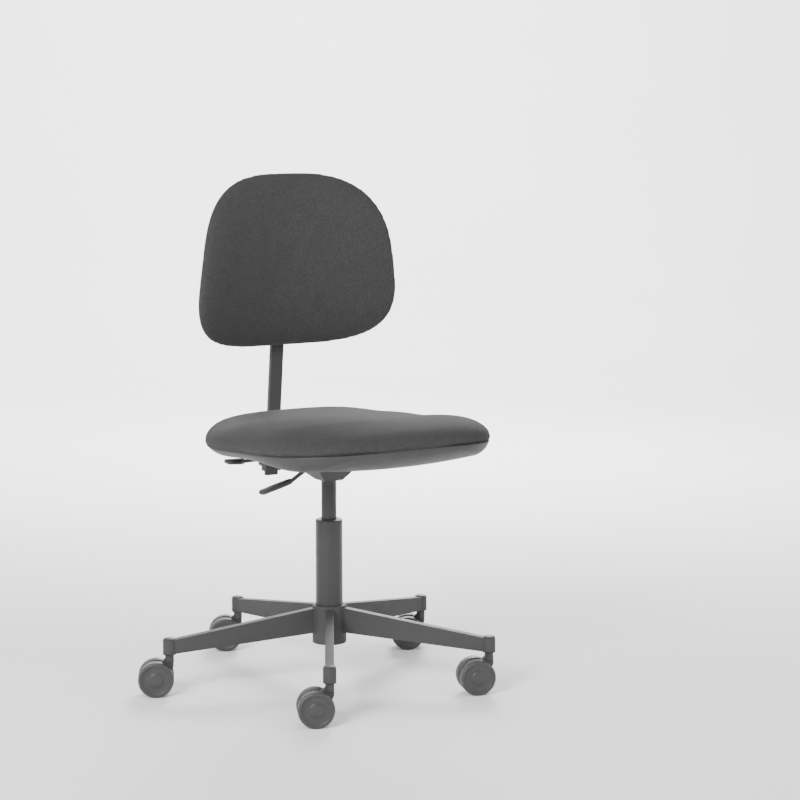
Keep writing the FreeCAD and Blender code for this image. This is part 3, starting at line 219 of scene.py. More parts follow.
def subdivided(obj):
    """Smooth a mesh by one subdivision."""
    modifier = obj.modifiers.new("smooth", "SUBSURF")
    modifier.levels = 1
    modifier.render_levels = 1
    return obj


def sharpened(obj, degrees):
    """Keep edges steeper than an angle crisp."""
    obj.data.set_sharp_from_angle(angle=math.radians(degrees))
    return obj


def turned_to(obj, outward, place):
    """Put a turned piece's foot at a place, with its axis pointing outward."""
    obj.rotation_mode = "QUATERNION"
    obj.rotation_quaternion = outward.to_track_quat("Z", "Y")
    obj.location = place
    return obj


def arc_points(centre, radius, first, last, steps):
    """Points on an arc in a profile's plane, between two angles in degrees."""
    angles = [math.radians(first + (last - first) * step / steps) for step in range(steps + 1)]
    return [(centre[0] + radius * math.cos(a), centre[1] + radius * math.sin(a)) for a in angles]


def smooth_step(low, high, value):
    share = min(1.0, max(0.0, (value - low) / (high - low)))
    return share * share * (3 - 2 * share)


# Shader helpers

class Shader:
    """A node material around one Principled surface."""

    def __init__(self, name, color, roughness, **sockets):
        self.material = bpy.data.materials.new(name)
        self.material.use_nodes = True
        self.tree = self.material.node_tree
        self.surface = self.tree.nodes["Principled BSDF"]
        self.surface.inputs["Base Color"].default_value = (*color, 1)
        self.surface.inputs["Roughness"].default_value = roughness
        for socket, value in sockets.items():
            self.surface.inputs[socket.replace("_", " ")].default_value = value
        self.material.diffuse_color = (*color, 1)
        self.place = self.node("ShaderNodeTexCoord").outputs["Object"]

    def node(self, kind, **settings):
        made = self.tree.nodes.new(kind)
        for key, value in settings.items():
            setattr(made, key, value)
        return made

    def link(self, source, target):
        self.tree.links.new(source, target)

    def fill(self, node, **sockets):
        """Set or link a node's inputs by name."""
        for socket, value in sockets.items():
            target = node.inputs[socket.replace("_", " ")]
            if isinstance(value, bpy.types.NodeSocket):
                self.link(value, target)
            else:
                target.default_value = value
        return node

    def scaled(self, x, y, z):
        """Object coordinates multiplied along each axis."""
        mapping = self.node("ShaderNodeMapping")
        self.fill(mapping, Vector=self.place, Scale=(x, y, z))
        return mapping.outputs["Vector"]

    def noise(self, scale, detail=2.0, where=None):
        texture = self.node("ShaderNodeTexNoise")
        self.fill(texture, Vector=where or self.place, Scale=scale, Detail=detail)
        return texture.outputs["Fac"]

    def cells(self, scale, where=None):
        texture = self.node("ShaderNodeTexVoronoi")
        self.fill(texture, Vector=where or self.place, Scale=scale)
        return texture.outputs["Distance"]

    def ramp(self, factor, low, high, first, last):
        """Two colours between two factors."""
        ramp = self.node("ShaderNodeValToRGB")
        for element, position, color in zip(ramp.color_ramp.elements, (low, high), (first, last)):
            element.position = position
            element.color = (*color, 1)
        self.link(factor, ramp.inputs["Fac"])
        return ramp.outputs["Color"]

    def span(self, factor, low, high, first, last):
        """Remap a factor's range low to high onto first to last."""
        remap = self.node("ShaderNodeMapRange")
        for socket, value in (("Value", factor), ("From Min", low), ("From Max", high),
                              ("To Min", first), ("To Max", last)):
            if isinstance(value, bpy.types.NodeSocket):
                self.link(value, remap.inputs[socket])
            else:
                remap.inputs[socket].default_value = value
        return remap.outputs["Result"]

    def math(self, operation, first, second=None):
        made = self.node("ShaderNodeMath", operation=operation)
        for socket, value in zip(made.inputs, (first, second)):
            if value is None:
                continue
            if isinstance(value, bpy.types.NodeSocket):
                self.link(value, socket)
            else:
                socket.default_value = value
        return made.outputs[0]

    def mix(self, factor, first, second):
        made = self.node("ShaderNodeMix", data_type="RGBA")
        self.link(factor, made.inputs["Factor"])
        for socket, value in ((made.inputs[6], first), (made.inputs[7], second)):
            if isinstance(value, bpy.types.NodeSocket):
                self.link(value, socket)
            else:
                socket.default_value = (*value, 1)
        return made.outputs[2]

    def color(self, output):
        self.link(output, self.surface.inputs["Base Color"])

    def roughness(self, output):
        self.link(output, self.surface.inputs["Roughness"])

    def bump(self, height, distance, strength=1.0):
        bump = self.node("ShaderNodeBump")
        self.fill(bump, Height=height, Distance=distance, Strength=strength)
        self.link(bump.outputs["Normal"], self.surface.inputs["Normal"])


def grey(level, warm=0.0):
    return (level * (1 + warm), level, level * (1 - warm))


def weave_group(pitch):
    """Relief of a plain weave in the XY plane of its input; pitch is the width of one yarn."""
    group = bpy.data.node_groups.new("weave", "ShaderNodeTree")
    group.interface.new_socket("Vector", in_out="INPUT", socket_type="NodeSocketVector")
    group.interface.new_socket("Relief", in_out="OUTPUT", socket_type="NodeSocketFloat")
    entry = group.nodes.new("NodeGroupInput")
    leave = group.nodes.new("NodeGroupOutput")
    yarns = []
    for direction in ("X", "Y"):
        wave = group.nodes.new("ShaderNodeTexWave")
        wave.bands_direction = direction
        wave.inputs["Scale"].default_value = math.pi / (10 * pitch)
        wave.inputs["Distortion"].default_value = 0.6
        wave.inputs["Detail"].default_value = 1.0
        group.links.new(entry.outputs["Vector"], wave.inputs["Vector"])
        yarns.append(wave.outputs["Fac"])
    checker = group.nodes.new("ShaderNodeTexChecker")
    checker.inputs["Scale"].default_value = 1 / pitch
    group.links.new(entry.outputs["Vector"], checker.inputs["Vector"])
    mix = group.nodes.new("ShaderNodeMix")
    group.links.new(checker.outputs["Fac"], mix.inputs["Factor"])
    group.links.new(yarns[0], mix.inputs["A"])
    group.links.new(yarns[1], mix.inputs["B"])
    group.links.new(mix.outputs["Result"], leave.inputs["Relief"])
    return group


def fabric_material(name, level, weave):
    """Charcoal woven cover: weave relief from three sides, mottled yarn colour with painted shade in the weave's
    low places, and a soft sheen.
    """
    shader = Shader(name, grey(level), 0.9, Sheen_Weight=0.03, Sheen_Roughness=0.5, Specular_IOR_Level=0.15)
    geometry = shader.node("ShaderNodeNewGeometry")
    facing = shader.node("ShaderNodeVectorMath", operation="ABSOLUTE")
    shader.link(geometry.outputs["Normal"], facing.inputs[0])
    parts = shader.node("ShaderNodeSeparateXYZ")
    shader.link(facing.outputs["Vector"], parts.inputs["Vector"])
    place = shader.node("ShaderNodeSeparateXYZ")
    shader.link(shader.place, place.inputs["Vector"])
    relief = None
    for across, up, toward in (("Y", "Z", "X"), ("X", "Z", "Y"), ("X", "Y", "Z")):
        plane = shader.node("ShaderNodeCombineXYZ")
        shader.link(place.outputs[across], plane.inputs["X"])
        shader.link(place.outputs[up], plane.inputs["Y"])
        side = shader.node("ShaderNodeGroup", node_tree=weave)
        shader.link(plane.outputs["Vector"], side.inputs["Vector"])
        share = shader.math("POWER", parts.outputs[toward], 3.0)
        seen = shader.math("MULTIPLY", side.outputs["Relief"], share)
        relief = seen if relief is None else shader.math("ADD", relief, seen)
    mottle = shader.noise(420, 3.0)
    wide = shader.noise(38, 3.0)
    base = shader.ramp(mottle, 0.32, 0.68, grey(level * 0.66), grey(level * 1.4))
    # Painted shade: the yarn colour is darkened toward the low places of the weave relief.
    colour_with_painted_shade = shader.mix(shader.span(relief, 0.0, 0.9, 0.0, 1.0), grey(level * 0.55), base)
    shader.color(shader.mix(shader.span(wide, 0.35, 0.65, 0.0, 0.06), colour_with_painted_shade, grey(level * 1.3)))
    shader.roughness(shader.span(mottle, 0.3, 0.7, 0.82, 0.97))
    shader.bump(relief, 0.0005, 0.7)
    return shader.material


def paint_material(name, level, rough, peel):
    """Painted steel: fine orange peel, slight tone drift and rubbed, smoother patches."""
    shader = Shader(name, grey(level), rough, Specular_IOR_Level=0.25)
    fine = shader.noise(1500, 2.0)
    drift = shader.noise(9, 3.0)
    rubbed = shader.noise(34, 5.0)
    shader.color(shader.ramp(drift, 0.3, 0.7, grey(level * 0.94), grey(level * 1.07)))
    shader.roughness(shader.span(rubbed, 0.35, 0.7, rough + 0.03, rough - 0.03))
    shader.bump(fine, peel, 0.5)
    return shader.material


def plastic_material(name, level, rough, grain=0.00016):
    """Moulded plastic: fine spark-eroded grain and handling sheen."""
    shader = Shader(name, grey(level), rough, Specular_IOR_Level=0.32)
    pebble = shader.cells(1300)
    cloud = shader.noise(14, 3.0)
    shader.color(shader.ramp(cloud, 0.3, 0.72, grey(level * 0.93), grey(level * 1.08)))
    shader.roughness(shader.span(shader.noise(40, 4.0), 0.3, 0.7, rough + 0.04, rough - 0.04))
    shader.bump(pebble, grain, 0.6)
    return shader.material


def wheel_material(name, level):
    """Hard wheel plastic, turned smooth, with a dusty scuffed tread toward its rim."""
    shader = Shader(name, grey(level), 0.42, Specular_IOR_Level=0.45)
    parts = shader.node("ShaderNodeSeparateXYZ")
    shader.link(shader.place, parts.inputs["Vector"])
    square = [shader.math("MULTIPLY", parts.outputs[axis], parts.outputs[axis]) for axis in ("X", "Y")]
    radius = shader.math("SQRT", shader.math("ADD", *square))
    rim = shader.span(radius, WHEEL_RADIUS - 0.004, WHEEL_RADIUS - 0.0005, 0.0, 1.0)
    scuff = shader.span(shader.noise(190, 5.0), 0.42, 0.62, 0.0, 1.0)
    worn = shader.math("MULTIPLY", rim, scuff)
    body = shader.ramp(shader.noise(18, 3.0), 0.3, 0.7, grey(level * 0.88), grey(level * 1.12))
    shader.color(shader.mix(worn, body, grey(level * 1.9, 0.03)))
    shader.roughness(shader.span(worn, 0.0, 1.0, 0.4, 0.75))
    shader.bump(shader.noise(900, 3.0), 0.00012, 0.5)
    return shader.material


def steel_material(name, level, rough):
    """Bright steel with drawn lines along its length."""
    shader = Shader(name, grey(level), rough, Metallic=1.0)
    lines = shader.noise(1.0, 4.0, shader.scaled(900, 900, 60))
    shader.color(shader.ramp(lines, 0.3, 0.7, grey(level * 0.86), grey(level * 1.08)))
    shader.roughness(shader.span(lines, 0.3, 0.7, rough - 0.06, rough + 0.1))
    shader.bump(lines, 0.00004, 0.5)
    return shader.material


def plywood_material(name):
    """Moulded beech plywood: long grain and faint layers."""
    shader = Shader(name, (0.5, 0.36, 0.22), 0.55)
    grain = shader.noise(1.0, 6.0, shader.scaled(160, 12, 160))
    shader.color(shader.ramp(grain, 0.32, 0.66, (0.56, 0.42, 0.27), (0.36, 0.24, 0.13)))
    shader.roughness(shader.span(grain, 0.3, 0.7, 0.48, 0.66))
    shader.bump(grain, 0.0002, 0.5)
    return shader.material


WEAVE = weave_group(0.0019)
MATERIALS = {
    "upholstery": fabric_material("charcoal_weave", 0.054, WEAVE),
    "powder_steel": paint_material("powder_coat", 0.046, 0.56, 0.00014),
    "black_steel": paint_material("gas_lift_paint", 0.038, 0.34, 0.00004),
    "dark_plastic": plastic_material("moulded_plastic", 0.04, 0.52),
    "wheel_plastic": wheel_material("wheel_plastic", 0.038),
    "steel": steel_material("drawn_steel", 0.5, 0.32),
    "plywood": plywood_material("beech_ply"),
    "rubber": plastic_material("soft_rubber", 0.03, 0.75, 0.0001),
}
WELT_MATERIAL = fabric_material("welt_weave", 0.046, WEAVE)


def finish_piece(obj, slot, body, material=None):
    """Give a new piece its material, found by slot name unless one is given, and let it ride on its body."""
    obj.data.materials.clear()
    obj.data.materials.append(material or MATERIALS[slot])
    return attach(obj, body)


# CAD nodes: material by slot, rounded edges and smooth shading

BEVELS = {
    "base_hub": 0.0012, "column_tube": 0.0006, "column_bush": 0.0008, "mechanism_housing": 0.0006,
    "seat_plate": 0.0006, "back_bracket": 0.0008, "back_holder": 0.0009, "back_post": 0.0016,
    "back_carrier": 0.0009, "angle_knob": 0.0007, "back_knob": 0.0008, "height_lever": 0.0006,
    "tilt_lever": 0.0006, "seat_bolts": 0.0006, "gas_cylinder": 0.0005,
}
# Nodes whose rounds may run past a short neighbouring edge, which would otherwise stop them.
UNCLAMPED = ("mechanism_housing", "back_bracket", "back_holder", "back_post", "back_carrier", "angle_knob",
             "back_knob", "height_lever", "tilt_lever")
for number in range(1, CASTERS + 1):
    BEVELS["base_arm_%d" % number] = 0.0016
    BEVELS["caster_body_%d" % number] = 0.0013
SLOT_OF = {row["node"]: row["material_slot"] for row in frame["record"]["subparts"]}


def dress_node(name, obj):
    """Material and smooth shading for a CAD node, with rounded edges where BEVELS gives their width."""
    obj.data.materials.clear()
    obj.data.materials.append(MATERIALS[SLOT_OF[name]])
    obj.data.polygons.foreach_set("use_smooth", [True] * len(obj.data.polygons))
    weld = obj.modifiers.new("weld", "WELD")
    weld.merge_threshold = 2e-5
    if name in BEVELS:
        flat = obj.modifiers.new("flat", "DECIMATE")
        flat.decimate_type = "DISSOLVE"
        flat.angle_limit = math.radians(0.5)
        bevel = obj.modifiers.new("edge", "BEVEL")
        bevel.width = BEVELS[name]
        bevel.segments = 3
        bevel.limit_method = "ANGLE"
        bevel.angle_limit = math.radians(32)
        bevel.harden_normals = False
        bevel.use_clamp_overlap = name not in UNCLAMPED
    obj.modifiers.new("shade", "WEIGHTED_NORMAL").keep_sharp = True


for node_name, node_object in frame["nodes"].items():
    dress_node(node_name, node_object)


# Seat

def seat_point(across, ahead, height):
    """A point of the seat frame in the row frame."""
    y = -(SEAT_OFFSET + ahead)
    turned_y = y * math.cos(SEAT_SLOPE) + height * math.sin(SEAT_SLOPE)
    turned_z = height * math.cos(SEAT_SLOPE) - y * math.sin(SEAT_SLOPE)
    return SEAT_ORIGIN + Vector((across, turned_y, turned_z))


def superellipse(half_x, half_y, power_high, power_low, count):
    """Even points round a square-shouldered oval; the powers are for its +y and -y halves."""
    points = []
    for share in np.linspace(0, 2 * math.pi, 4000, endpoint=False):
        power = power_high if math.sin(share) >= 0 else power_low
        c, s = math.cos(share), math.sin(share)
        size = (abs(c) ** power + abs(s) ** power) ** (-1 / power)
        points.append((half_x * c * size, half_y * s * size))
    return evenly(np.array(points), count)


SEAT_RIM = superellipse(*SEAT_HALF, SEAT_POWER, SEAT_POWER, RIM_POINTS)


def seat_lift(ahead):
    """Turn-up of the seat's ends, as its board is bent."""
    share = ahead / SEAT_HALF[1]
    end = SEAT_RISE[0] if share > 0 else SEAT_RISE[1]
    return end * (max(0.0, abs(share) - SEAT_FLAT) / (1 - SEAT_FLAT)) ** 2


def bulge(share):
    """Height of a pad's crown, from 1 at its middle to 0 at its rim."""
    return math.sqrt(max(0.0, 1 - share ** EDGE_POWER))


def swell(ahead, size, middle, spread):
    """A smooth rise across the seat, as high as size, about a middle given as a share of the half depth."""
    return size * math.exp(-((ahead / SEAT_HALF[1] - middle) / spread) ** 2)


def seat_top(across, ahead, share):
    """Crowned top with a shallow hollow under the hips and a roll toward the knees."""
    crown = SEAT_CROWN - swell(ahead, *SEAT_HOLLOW) + swell(ahead, *SEAT_ROLL)
    return seat_point(across, ahead, SEAT_MID + seat_lift(ahead) + crown * bulge(share))


def pad_mesh(name, rim, top, under_rings, under):
    """A closed pad of rings: over its top from the middle to the rim, then under it and across its base."""
    count = len(rim)
    verts = [top(0, 0, 0)]
    for share in (*TOP_RINGS, 1.0):
        verts += [top(x * share, y * share, share) for x, y in rim]
    for share, sink in under_rings:
        verts += [under(x * share, y * share, sink) for x, y in rim]
    verts.append(under(0, 0, under_rings[-1][1]))
    faces = [(0, 1 + step, 1 + (step + 1) % count) for step in range(count)]
    rings = len(TOP_RINGS) + 1 + len(under_rings)
    for ring in range(rings - 1):
        near, far = 1 + ring * count, 1 + (ring + 1) * count
        for step in range(count):
            after = (step + 1) % count
            faces.append((near + step, far + step, far + after, near + after))
    last = 1 + (rings - 1) * count
    end = len(verts) - 1
    faces += [(last + step, end, last + (step + 1) % count) for step in range(count)]
    return recalculated(mesh_object(name, verts, faces))


def seat_base(across, ahead, height):
    """Underside of the seat pad: tucked in under the rim, then level on the shell's edge and the board."""
    return seat_point(across, ahead, height + seat_lift(ahead))


SEAT_UNDER_RINGS = ((0.999, 0.0165), (0.996, 0.0145), (0.989, 0.0131), (0.975, SEAT_SPLIT),
                    (0.93, SEAT_SPLIT), (0.8, SEAT_SPLIT), (0.6, SEAT_SPLIT), (0.35, SEAT_SPLIT))


# Back

def back_depth(across, up):
    """Depth of the back's middle surface: leaning, arched at the lumbar and wrapped round the sitter."""
    lean = BACK_LEAN * up
    return BACK_MID[0] - lean + BACK_LUMBAR * up ** 2 - BACK_WRAP * across ** 2


def back_rim(count):
    """Outline of the back pad, narrower toward its top."""
    flat = superellipse(*BACK_HALF, *BACK_POWERS, 2000)
    flat[:, 0] *= 1 - BACK_TAPER * flat[:, 1] / BACK_HALF[1]
    return evenly(flat, count)


def back_front(across, up, share):
    """Crowned front of the back."""
    return Vector((across, back_depth(across, up) - BACK_DEPTH * bulge(share), BACK_MID[1] + up))


def back_behind(across, up, sink):
    """A point behind the back's middle surface."""
    return Vector((across, back_depth(across, up) + sink, BACK_MID[1] + up))


BACK_RIM = back_rim(RIM_POINTS)
BACK_UNDER_RINGS = ((0.997, 0.0022), (0.99, 0.0044), (0.975, BACK_REAR), (0.9, BACK_REAR),
                    (0.7, BACK_REAR), (0.4, BACK_REAR))


# Cushion simulation

def voxel_mesh(obj):
    """Replace a pad's mesh by an even net of small faces."""
    remesh = obj.modifiers.new("voxels", "REMESH")
    remesh.mode = "VOXEL"
    remesh.voxel_size = VOXEL
    bpy.context.view_layer.update()
    old = obj.data
    obj.data = bpy.data.meshes.new_from_object(obj.evaluated_get(bpy.context.evaluated_depsgraph_get()))
    obj.modifiers.clear()
    bpy.data.meshes.remove(old)


def mesh_array(items, key, width):
    """One property of a mesh's points or edges, a row for each."""
    values = np.empty(len(items) * width, np.int32 if key == "vertices" else np.float32)
    items.foreach_get(key, values)
    return values.reshape(-1, width)


def evened(values, edges, rounds):
    """Values of points, averaged with those of their neighbours over some rounds."""
    share = np.bincount(edges.ravel(), minlength=len(values))[:, None]
    for _ in range(rounds):
        total = np.zeros_like(values)
        np.add.at(total, edges[:, 0], values[edges[:, 1]])
        np.add.at(total, edges[:, 1], values[edges[:, 0]])
        values = (values + total / share) / 2
    return values


def filled(obj, held):
    """Blow a pad up with pressure as cloth over its foam, and return how far each point moved."""
    start = mesh_array(obj.data.vertices, "co", 3)
    pins = obj.vertex_groups.new(name="held")
    for index, weight in enumerate(held):
        pins.add([index], float(weight), "REPLACE")
    cloth = obj.modifiers.new("fill", "CLOTH")
    for key, value in CLOTH.items():
        setattr(cloth.settings, key, value)
    cloth.settings.effector_weights.gravity = 0
    cloth.settings.vertex_group_mass = "held"
    cloth.point_cache.frame_start = 1
    cloth.point_cache.frame_end = SIM_FRAMES
    for step in range(1, SIM_FRAMES + 1):
        bpy.context.scene.frame_set(step)
    swollen = obj.evaluated_get(bpy.context.evaluated_depsgraph_get()).to_mesh()
    move = mesh_array(swollen.vertices, "co", 3) - start
    length = np.linalg.norm(move, axis=1)[:, None]
    move *= np.minimum(length, SIM_CAP) / np.maximum(length, 1e-9)
    obj.modifiers.clear()
    obj.vertex_groups.clear()
    bpy.context.scene.frame_set(1)
    return move


def from_rim(flat, rim):
    """Distance of points in a rim's plane from its nearest point, and which point that is."""
    away = np.linalg.norm(flat[:, None, :] - rim[None, :, :], axis=2)
    return away.min(axis=1), away.argmin(axis=1)


def gathers(away, near, rim):
    """Height of the small puckers where the cover is drawn round a rim's corners."""
    size, reach, pitch = GATHER
    blur = 4
    run = np.roll(rim, -1, axis=0) - rim
    turn = np.unwrap(np.arctan2(run[:, 1], run[:, 0]))
    bend = np.abs(np.diff(np.append(turn, turn[0] + 2 * math.pi * np.sign(turn[-1] - turn[0]))))
    window = np.ones(2 * blur + 1) / (2 * blur + 1)
    bend = np.convolve(np.concatenate([bend[-blur:], bend, bend[:blur]]), window, "valid")
    along = 2 * math.pi * np.arange(len(rim)) * np.linalg.norm(run, axis=1).mean() / pitch
    wave = 0.6 * np.sin(along) + 0.4 * np.sin(along / 0.62 + 1.3)
    return size * (bend * wave / bend.max())[near] * np.exp(-(away / reach) ** 2)


def plump(obj, held, plan, rim):
    """Turn a plain pad into a filled, covered one: swollen over its foam and gathered round its corners."""
    voxel_mesh(obj)
    mesh = obj.data
    place = mesh_array(mesh.vertices, "co", 3)
    normal = mesh_array(mesh.vertices, "normal", 3)
    firm = held(place)
    free = (1 - firm)[:, None]
    away, near = from_rim(plan(place), rim)
    smoothing_rounds = 4
    slack, shoulder = SIM_SLACK
    place = place - normal * free * slack * (1 - np.exp(-(away / shoulder) ** 2))[:, None]
    mesh.vertices.foreach_set("co", place.ravel())
    move = filled(obj, np.maximum(firm, FOAM_HOLD))
    place = place + evened(move, mesh_array(mesh.edges, "vertices", 2), smoothing_rounds)
    place = place + normal * free * gathers(away, near, rim)[:, None]
    mesh.vertices.foreach_set("co", place.astype(np.float32).ravel())
    mesh.polygons.foreach_set("use_smooth", [True] * len(mesh.polygons))
    mesh.update()
    return obj


def make_welt(name, pad, rim, place, body):
    """Corded seam laid on a pad's edge; place gives the seam's surface at a point of the rim's plane."""
    tree = BVHTree.FromObject(pad, bpy.context.evaluated_depsgraph_get())
    band, blur = 0.05, 2
    path = []
    for x, y in rim:
        outside, inside = [place(x * share, y * share) for share in (1 + band, 1 - band)]
        inward = (inside - outside).normalized()
        edge = tree.ray_cast(outside, inward)[0] or place(x, y)
        path.append(edge + inward * WELT_SINK)
    path = np.array(path)
    path = sum(np.roll(path, step, axis=0) for step in range(-blur, blur + 1)) / (2 * blur + 1)
    finish_piece(tube(name, path, WELT_RADIUS), "upholstery", body, WELT_MATERIAL)


def seat_plan(points):
    """Row points in the seat's frame: across, ahead of its centre, and up from its mean rim."""
    offset = points - np.array(SEAT_ORIGIN)
    ahead = offset[:, 2] * math.sin(SEAT_SLOPE) - offset[:, 1] * math.cos(SEAT_SLOPE) - SEAT_OFFSET
    lift = np.array([seat_lift(a) for a in ahead])
    up = offset[:, 2] * math.cos(SEAT_SLOPE) + offset[:, 1] * math.sin(SEAT_SLOPE) - SEAT_MID - lift
    return np.stack([offset[:, 0], ahead, up], axis=1)


def make_seat():
    def held(points):
        return np.clip(1 - seat_plan(points)[:, 2] / SEAT_FREE, 0, 1)

    def plan(points):
        return seat_plan(points)[:, :2]

    pad = pad_mesh("seat_pad", SEAT_RIM, seat_top, SEAT_UNDER_RINGS, seat_base)
    subdivided(plump(pad, held, plan, SEAT_RIM))
    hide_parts("seat_cushion")
    finish_piece(pad, "upholstery", "seat")
    make_welt("seat_welt", pad, SEAT_RIM, lambda x, y: seat_base(x, y, SEAT_SPLIT + SEAT_SEAM), "seat")


def make_back():
    def held(points):
        depth = back_depth(points[:, 0], points[:, 2] - BACK_MID[1])
        return np.clip(1 - (depth - points[:, 1]) / BACK_FREE, 0, 1)

    def plan(points):
        return np.stack([points[:, 0], points[:, 2] - BACK_MID[1]], axis=1)

    pad = pad_mesh("back_pad", BACK_RIM, back_front, BACK_UNDER_RINGS, back_behind)
    subdivided(plump(pad, held, plan, BACK_RIM))
    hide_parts("back_cushion")
    finish_piece(pad, "upholstery", "backrest")
    make_welt("back_welt", pad, BACK_RIM, lambda x, up: back_behind(x, up, BACK_SEAM), "backrest")


# Wheels, lever grips, welds and trim

def wheel_profile():
    """Twin-wheel disc from its blind bore over the tread to a dished outer face with a hub dome."""
    bore, bore_depth, round_in, round_out = 0.00405, 0.0175, 0.0048, 0.0036
    outer = WHEEL_RADIUS
    profile = [(0, bore_depth), (bore, bore_depth), (bore, 0.0005), (bore + 0.0005, 0)]
    profile += arc_points((outer - round_in, round_in), round_in, -90, 0, 7)
    profile += arc_points((outer - round_out, WHEEL_WIDTH - round_out), round_out, 0, 90, 6)
    profile += [(0.0268, 0.0200), (0.0262, 0.0198), (0.0256, 0.0188), (0.0250, 0.0185)]
    profile += [(0.0190, 0.01815), (0.0135, 0.0183), (0.0129, 0.0186), (0.0124, 0.0194), (0.0118, 0.0197)]
    profile += [(0.0090, 0.0200), (0.0050, 0.0202), (0, 0.0203)]
    return profile


def make_wheels():
    """Each wheel sits on the hub and axis that its joint gives."""
    profile = wheel_profile()
    for joint in frame["joints"]:
        if not joint["name"].startswith("wheel_spin_"):
            continue
        label = joint["name"][len("wheel_spin_"):]
        outward = Vector(joint["axis"]) * (1 if label.endswith("a") else -1)
        wheel = sharpened(lathe("wheel_disc_" + label, profile), 38)
        turned_to(wheel, outward, Vector(joint["pos_m"]) - outward * WHEEL_WIDTH / 2)
        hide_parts("wheel_" + label)
        finish_piece(wheel, "wheel_plastic", "wheel_" + label)


def grip_mesh(name, neck, tip, neck_size, width, thickness, sections=22, sides=20):
    """Moulded paddle from a square neck to a broad, finger-ridged, round-ended blade."""
    neck, tip = Vector(neck), Vector(tip)
    across = Vector((0, 1, 0))
    up = (tip - neck).normalized().cross(across)
    ridge_depth, ridge_turn, round_start, power = 0.10, 58, 0.82, 3.6
    rings = []
    for section in range(sections):
        share = section / (sections - 1)
        broad = neck_size + (width - neck_size) * smooth_step(0.0, 0.4, share)
        tall = neck_size + (thickness - neck_size) * smooth_step(0.05, 0.5, share)
        ridged = smooth_step(0.45, 0.55, share) * smooth_step(0.92, 0.86, share)
        tall *= 1 - ridge_depth * ridged * math.cos(share * ridge_turn) ** 2
        end = max(0.0, (share - round_start) / (1 - round_start))
        broad *= math.sqrt(max(0.04, 1 - end ** 2.6))
        tall *= math.sqrt(max(0.10, 1 - end ** 4))
        centre = neck + (tip - neck) * share
        rings.append(squared_ring(centre, across * broad / 2, up * tall / 2, power, sides))
    return skin(name, rings)


def make_grips():
    neck_size, thickness = 0.0105, 0.009
    for node, body, neck, tip, width in (
            ("height_grip", "height_lever", (-0.078, 0, 0.3845), (-0.144, 0, 0.367), 0.022),
            ("tilt_grip", "tilt_lever", (-0.146, 0.057, 0.4185), (-0.182, 0.057, 0.420), 0.034)):
        grip = subdivided(grip_mesh(node + "_paddle", neck, tip, neck_size, width, thickness))
        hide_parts(node)
        finish_piece(grip, "dark_plastic", body)


def make_welds():
    """Rippled weld bead round the root of each arm, on the hub's wall."""
    hub, half, low, high, corner = 0.0316, 0.008, 0.0945, 0.1409, 0.0022
    bead, ripple, points, ripple_points = 0.0015, 0.00022, 150, 3
    loop = []
    for cx, cz, first in ((half, high, 0), (-half, high, 90), (-half, low, 180), (half, low, 270)):
        inner = (cx - math.copysign(corner, cx), cz + (-corner if cz == high else corner))
        loop += arc_points(inner, corner, first, first + 90, 5)
    loop = evenly(np.array(loop), points)
    radii = bead + ripple * np.abs(np.sin(np.arange(points) * math.pi / ripple_points))
    for arm in range(CASTERS):
        turn = Matrix.Rotation(math.radians(ARM_TURN + 360 / CASTERS * arm), 3, "Z")
        path = [turn @ Vector((math.sqrt(hub ** 2 - s * s), s, z)) for s, z in loop]
        finish_piece(tube("arm_weld_%d" % (arm + 1), path, radii, 8), "powder_steel", "base")


def make_plugs():
    """Domed plastic plug in the open top of each caster socket."""
    profile = [(0, -0.006), (0.0078, -0.006), (0.0078, 0.0), (0.0102, 0.0)]
    profile += arc_points((0.0092, 0.0010), 0.0010, 0, 70, 3)
    profile += [(0.0070, 0.0026), (0.0040, 0.0031), (0, 0.0033)]
    for joint in frame["joints"]:
        if joint["name"].startswith("caster_swivel_"):
            plug = sharpened(lathe("socket_plug_" + joint["name"][-1], profile, 40), 40)
            plug.location = (joint["pos_m"][0], joint["pos_m"][1], SOCKET_TOP)
            finish_piece(plug, "dark_plastic", "base")


def make_knob_caps():
    """Domed cover disc on the outer face of each hand knob, about the axis of its joint."""
    for joint in frame["joints"]:
        name = joint["name"].removesuffix("_turn")
        if not name.endswith("_knob"):
            continue
        pivot, axis = Vector(joint["pos_m"]), Vector(joint["axis"])
        outward = axis if axis.y > 0 else -axis
        face = max((vertex.co - pivot).dot(outward) for vertex in frame["nodes"][name].data.vertices)
        low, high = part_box(name)
        radius = KNOB_CAP_SHARE * (high.x - low.x) / 2
        profile = [(0, -0.001), (radius - 0.0004, -0.001), (radius - 0.0004, 0.0001), (radius, 0.0004)]
        profile += [(radius, 0.0009), (radius - 0.0006, 0.0014), (0.6 * radius, 0.0019), (0, 0.0021)]
        cap = sharpened(lathe(name + "_cap", profile, 48), 40)
        finish_piece(turned_to(cap, outward, pivot + outward * face), "dark_plastic", name)


def make_post_cap():
    """Plastic cap over the upper end of the upright, above the carrier's highest place."""
    half_width, half_depth, depth, top = 0.0143, 0.0063, 0.199, 0.8915
    power, sides = 9, 48
    rings = []
    for inset, height in ((0.0006, top - 0.0130), (0.0, top - 0.0124), (0.0, top - 0.0030),
                          (0.0004, top - 0.0014), (0.0013, top - 0.0004), (0.0026, top)):
        rings.append(squared_ring(Vector((0, depth, height)), Vector((half_width - inset, 0, 0)),
                                  Vector((0, half_depth - inset, 0)), power, sides))
    finish_piece(sharpened(skin("post_cap", rings), 40), "dark_plastic", "back")


make_seat()
make_back()
make_wheels()
make_grips()
make_welds()
make_plugs()
make_knob_caps()
make_post_cap()


# Stage, light and camera

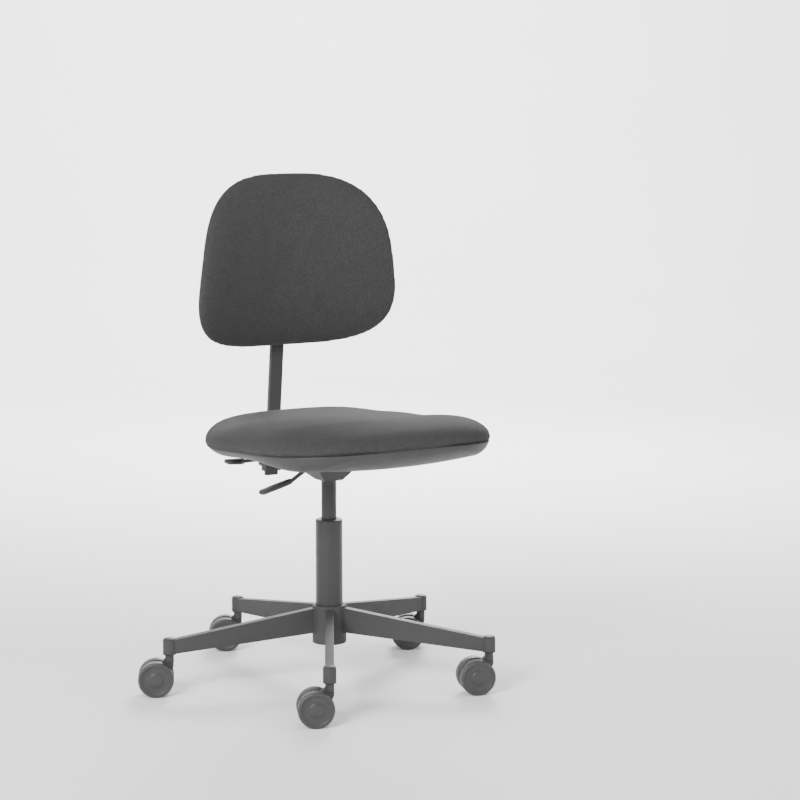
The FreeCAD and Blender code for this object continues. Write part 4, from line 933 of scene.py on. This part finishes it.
def area_light(name, place, target, size, power):
    """A round soft light, aimed at a target."""
    data = bpy.data.lights.new(name, "AREA")
    data.shape = "DISK"
    data.size = size
    data.energy = power
    light = bpy.data.objects.new(name, data)
    light.location = place
    light.rotation_mode = "QUATERNION"
    light.rotation_quaternion = (Vector(target) - Vector(place)).to_track_quat("-Z", "Y")
    bpy.context.scene.collection.objects.link(light)


def make_stage():
    """Pale floor that sweeps up behind the chair."""
    reach, sweep_start, sweep, wall_top, steps = 60.0, 4.0, 3.0, 9.0, 12
    profile = [(-reach, 0.0), (sweep_start, 0.0)]
    for step in range(1, steps + 1):
        angle = math.pi / 2 * step / steps
        profile.append((sweep_start + sweep * math.sin(angle), sweep - sweep * math.cos(angle)))
    profile.append((sweep_start + sweep, wall_top))
    turn = Matrix.Rotation(-VIEW_TURN, 3, "Z")
    verts = []
    for y, z in profile:
        verts += [turn @ Vector((-reach, y, z)), turn @ Vector((reach, y, z))]
    faces = [(2 * i, 2 * i + 1, 2 * i + 3, 2 * i + 2) for i in range(len(profile) - 1)]
    floor = mesh_object("studio_floor", verts, faces)
    shader = Shader("pale_floor", grey(0.88), 0.9, Specular_IOR_Level=0.1)
    shader.color(shader.ramp(shader.noise(1.5, 2.0), 0.3, 0.7, grey(0.87), grey(0.9)))
    floor.data.materials.append(shader.material)


def make_light():
    """White surroundings, three soft lights on the chair and one on the backdrop."""
    world = bpy.data.worlds.new("studio")
    world.use_nodes = True
    background = world.node_tree.nodes["Background"]
    background.inputs["Color"].default_value = (1, 1, 1, 1)
    background.inputs["Strength"].default_value = 0.8
    bpy.context.scene.world = world
    area_light("key", (-3.0, -1.8, 2.2), (0, 0, 0.55), 1.5, 190)
    area_light("fill", (2.6, -2.6, 1.4), (0, 0, 0.5), 2.4, 40)
    area_light("rim", (1.8, 2.2, 2.0), (0, 0, 0.6), 1.2, 110)
    area_light("wall", (1.2, 2.6, 4.2), (3.4, 6.2, 1.6), 4.0, 800)


def make_camera():
    """The photograph's viewpoint: level turn and downward pitch solved from the outline, square frame."""
    distance, height, sensor = 4.2, 1.1064, 36
    yaw, pitch, focal_px, frame_px = 0.0313, 0.1369, 2307.23, 800
    data = bpy.data.cameras.new("camera")
    data.sensor_width = sensor
    data.lens = sensor * focal_px / frame_px
    data.clip_end = 200
    camera = bpy.data.objects.new("camera", data)
    camera.location = (-math.sin(VIEW_TURN) * distance, -math.cos(VIEW_TURN) * distance, height)
    camera.rotation_euler = (math.pi / 2 - pitch, 0, -VIEW_TURN - yaw)
    bpy.context.scene.collection.objects.link(camera)
    bpy.context.scene.camera = camera


make_stage()
make_light()
make_camera()
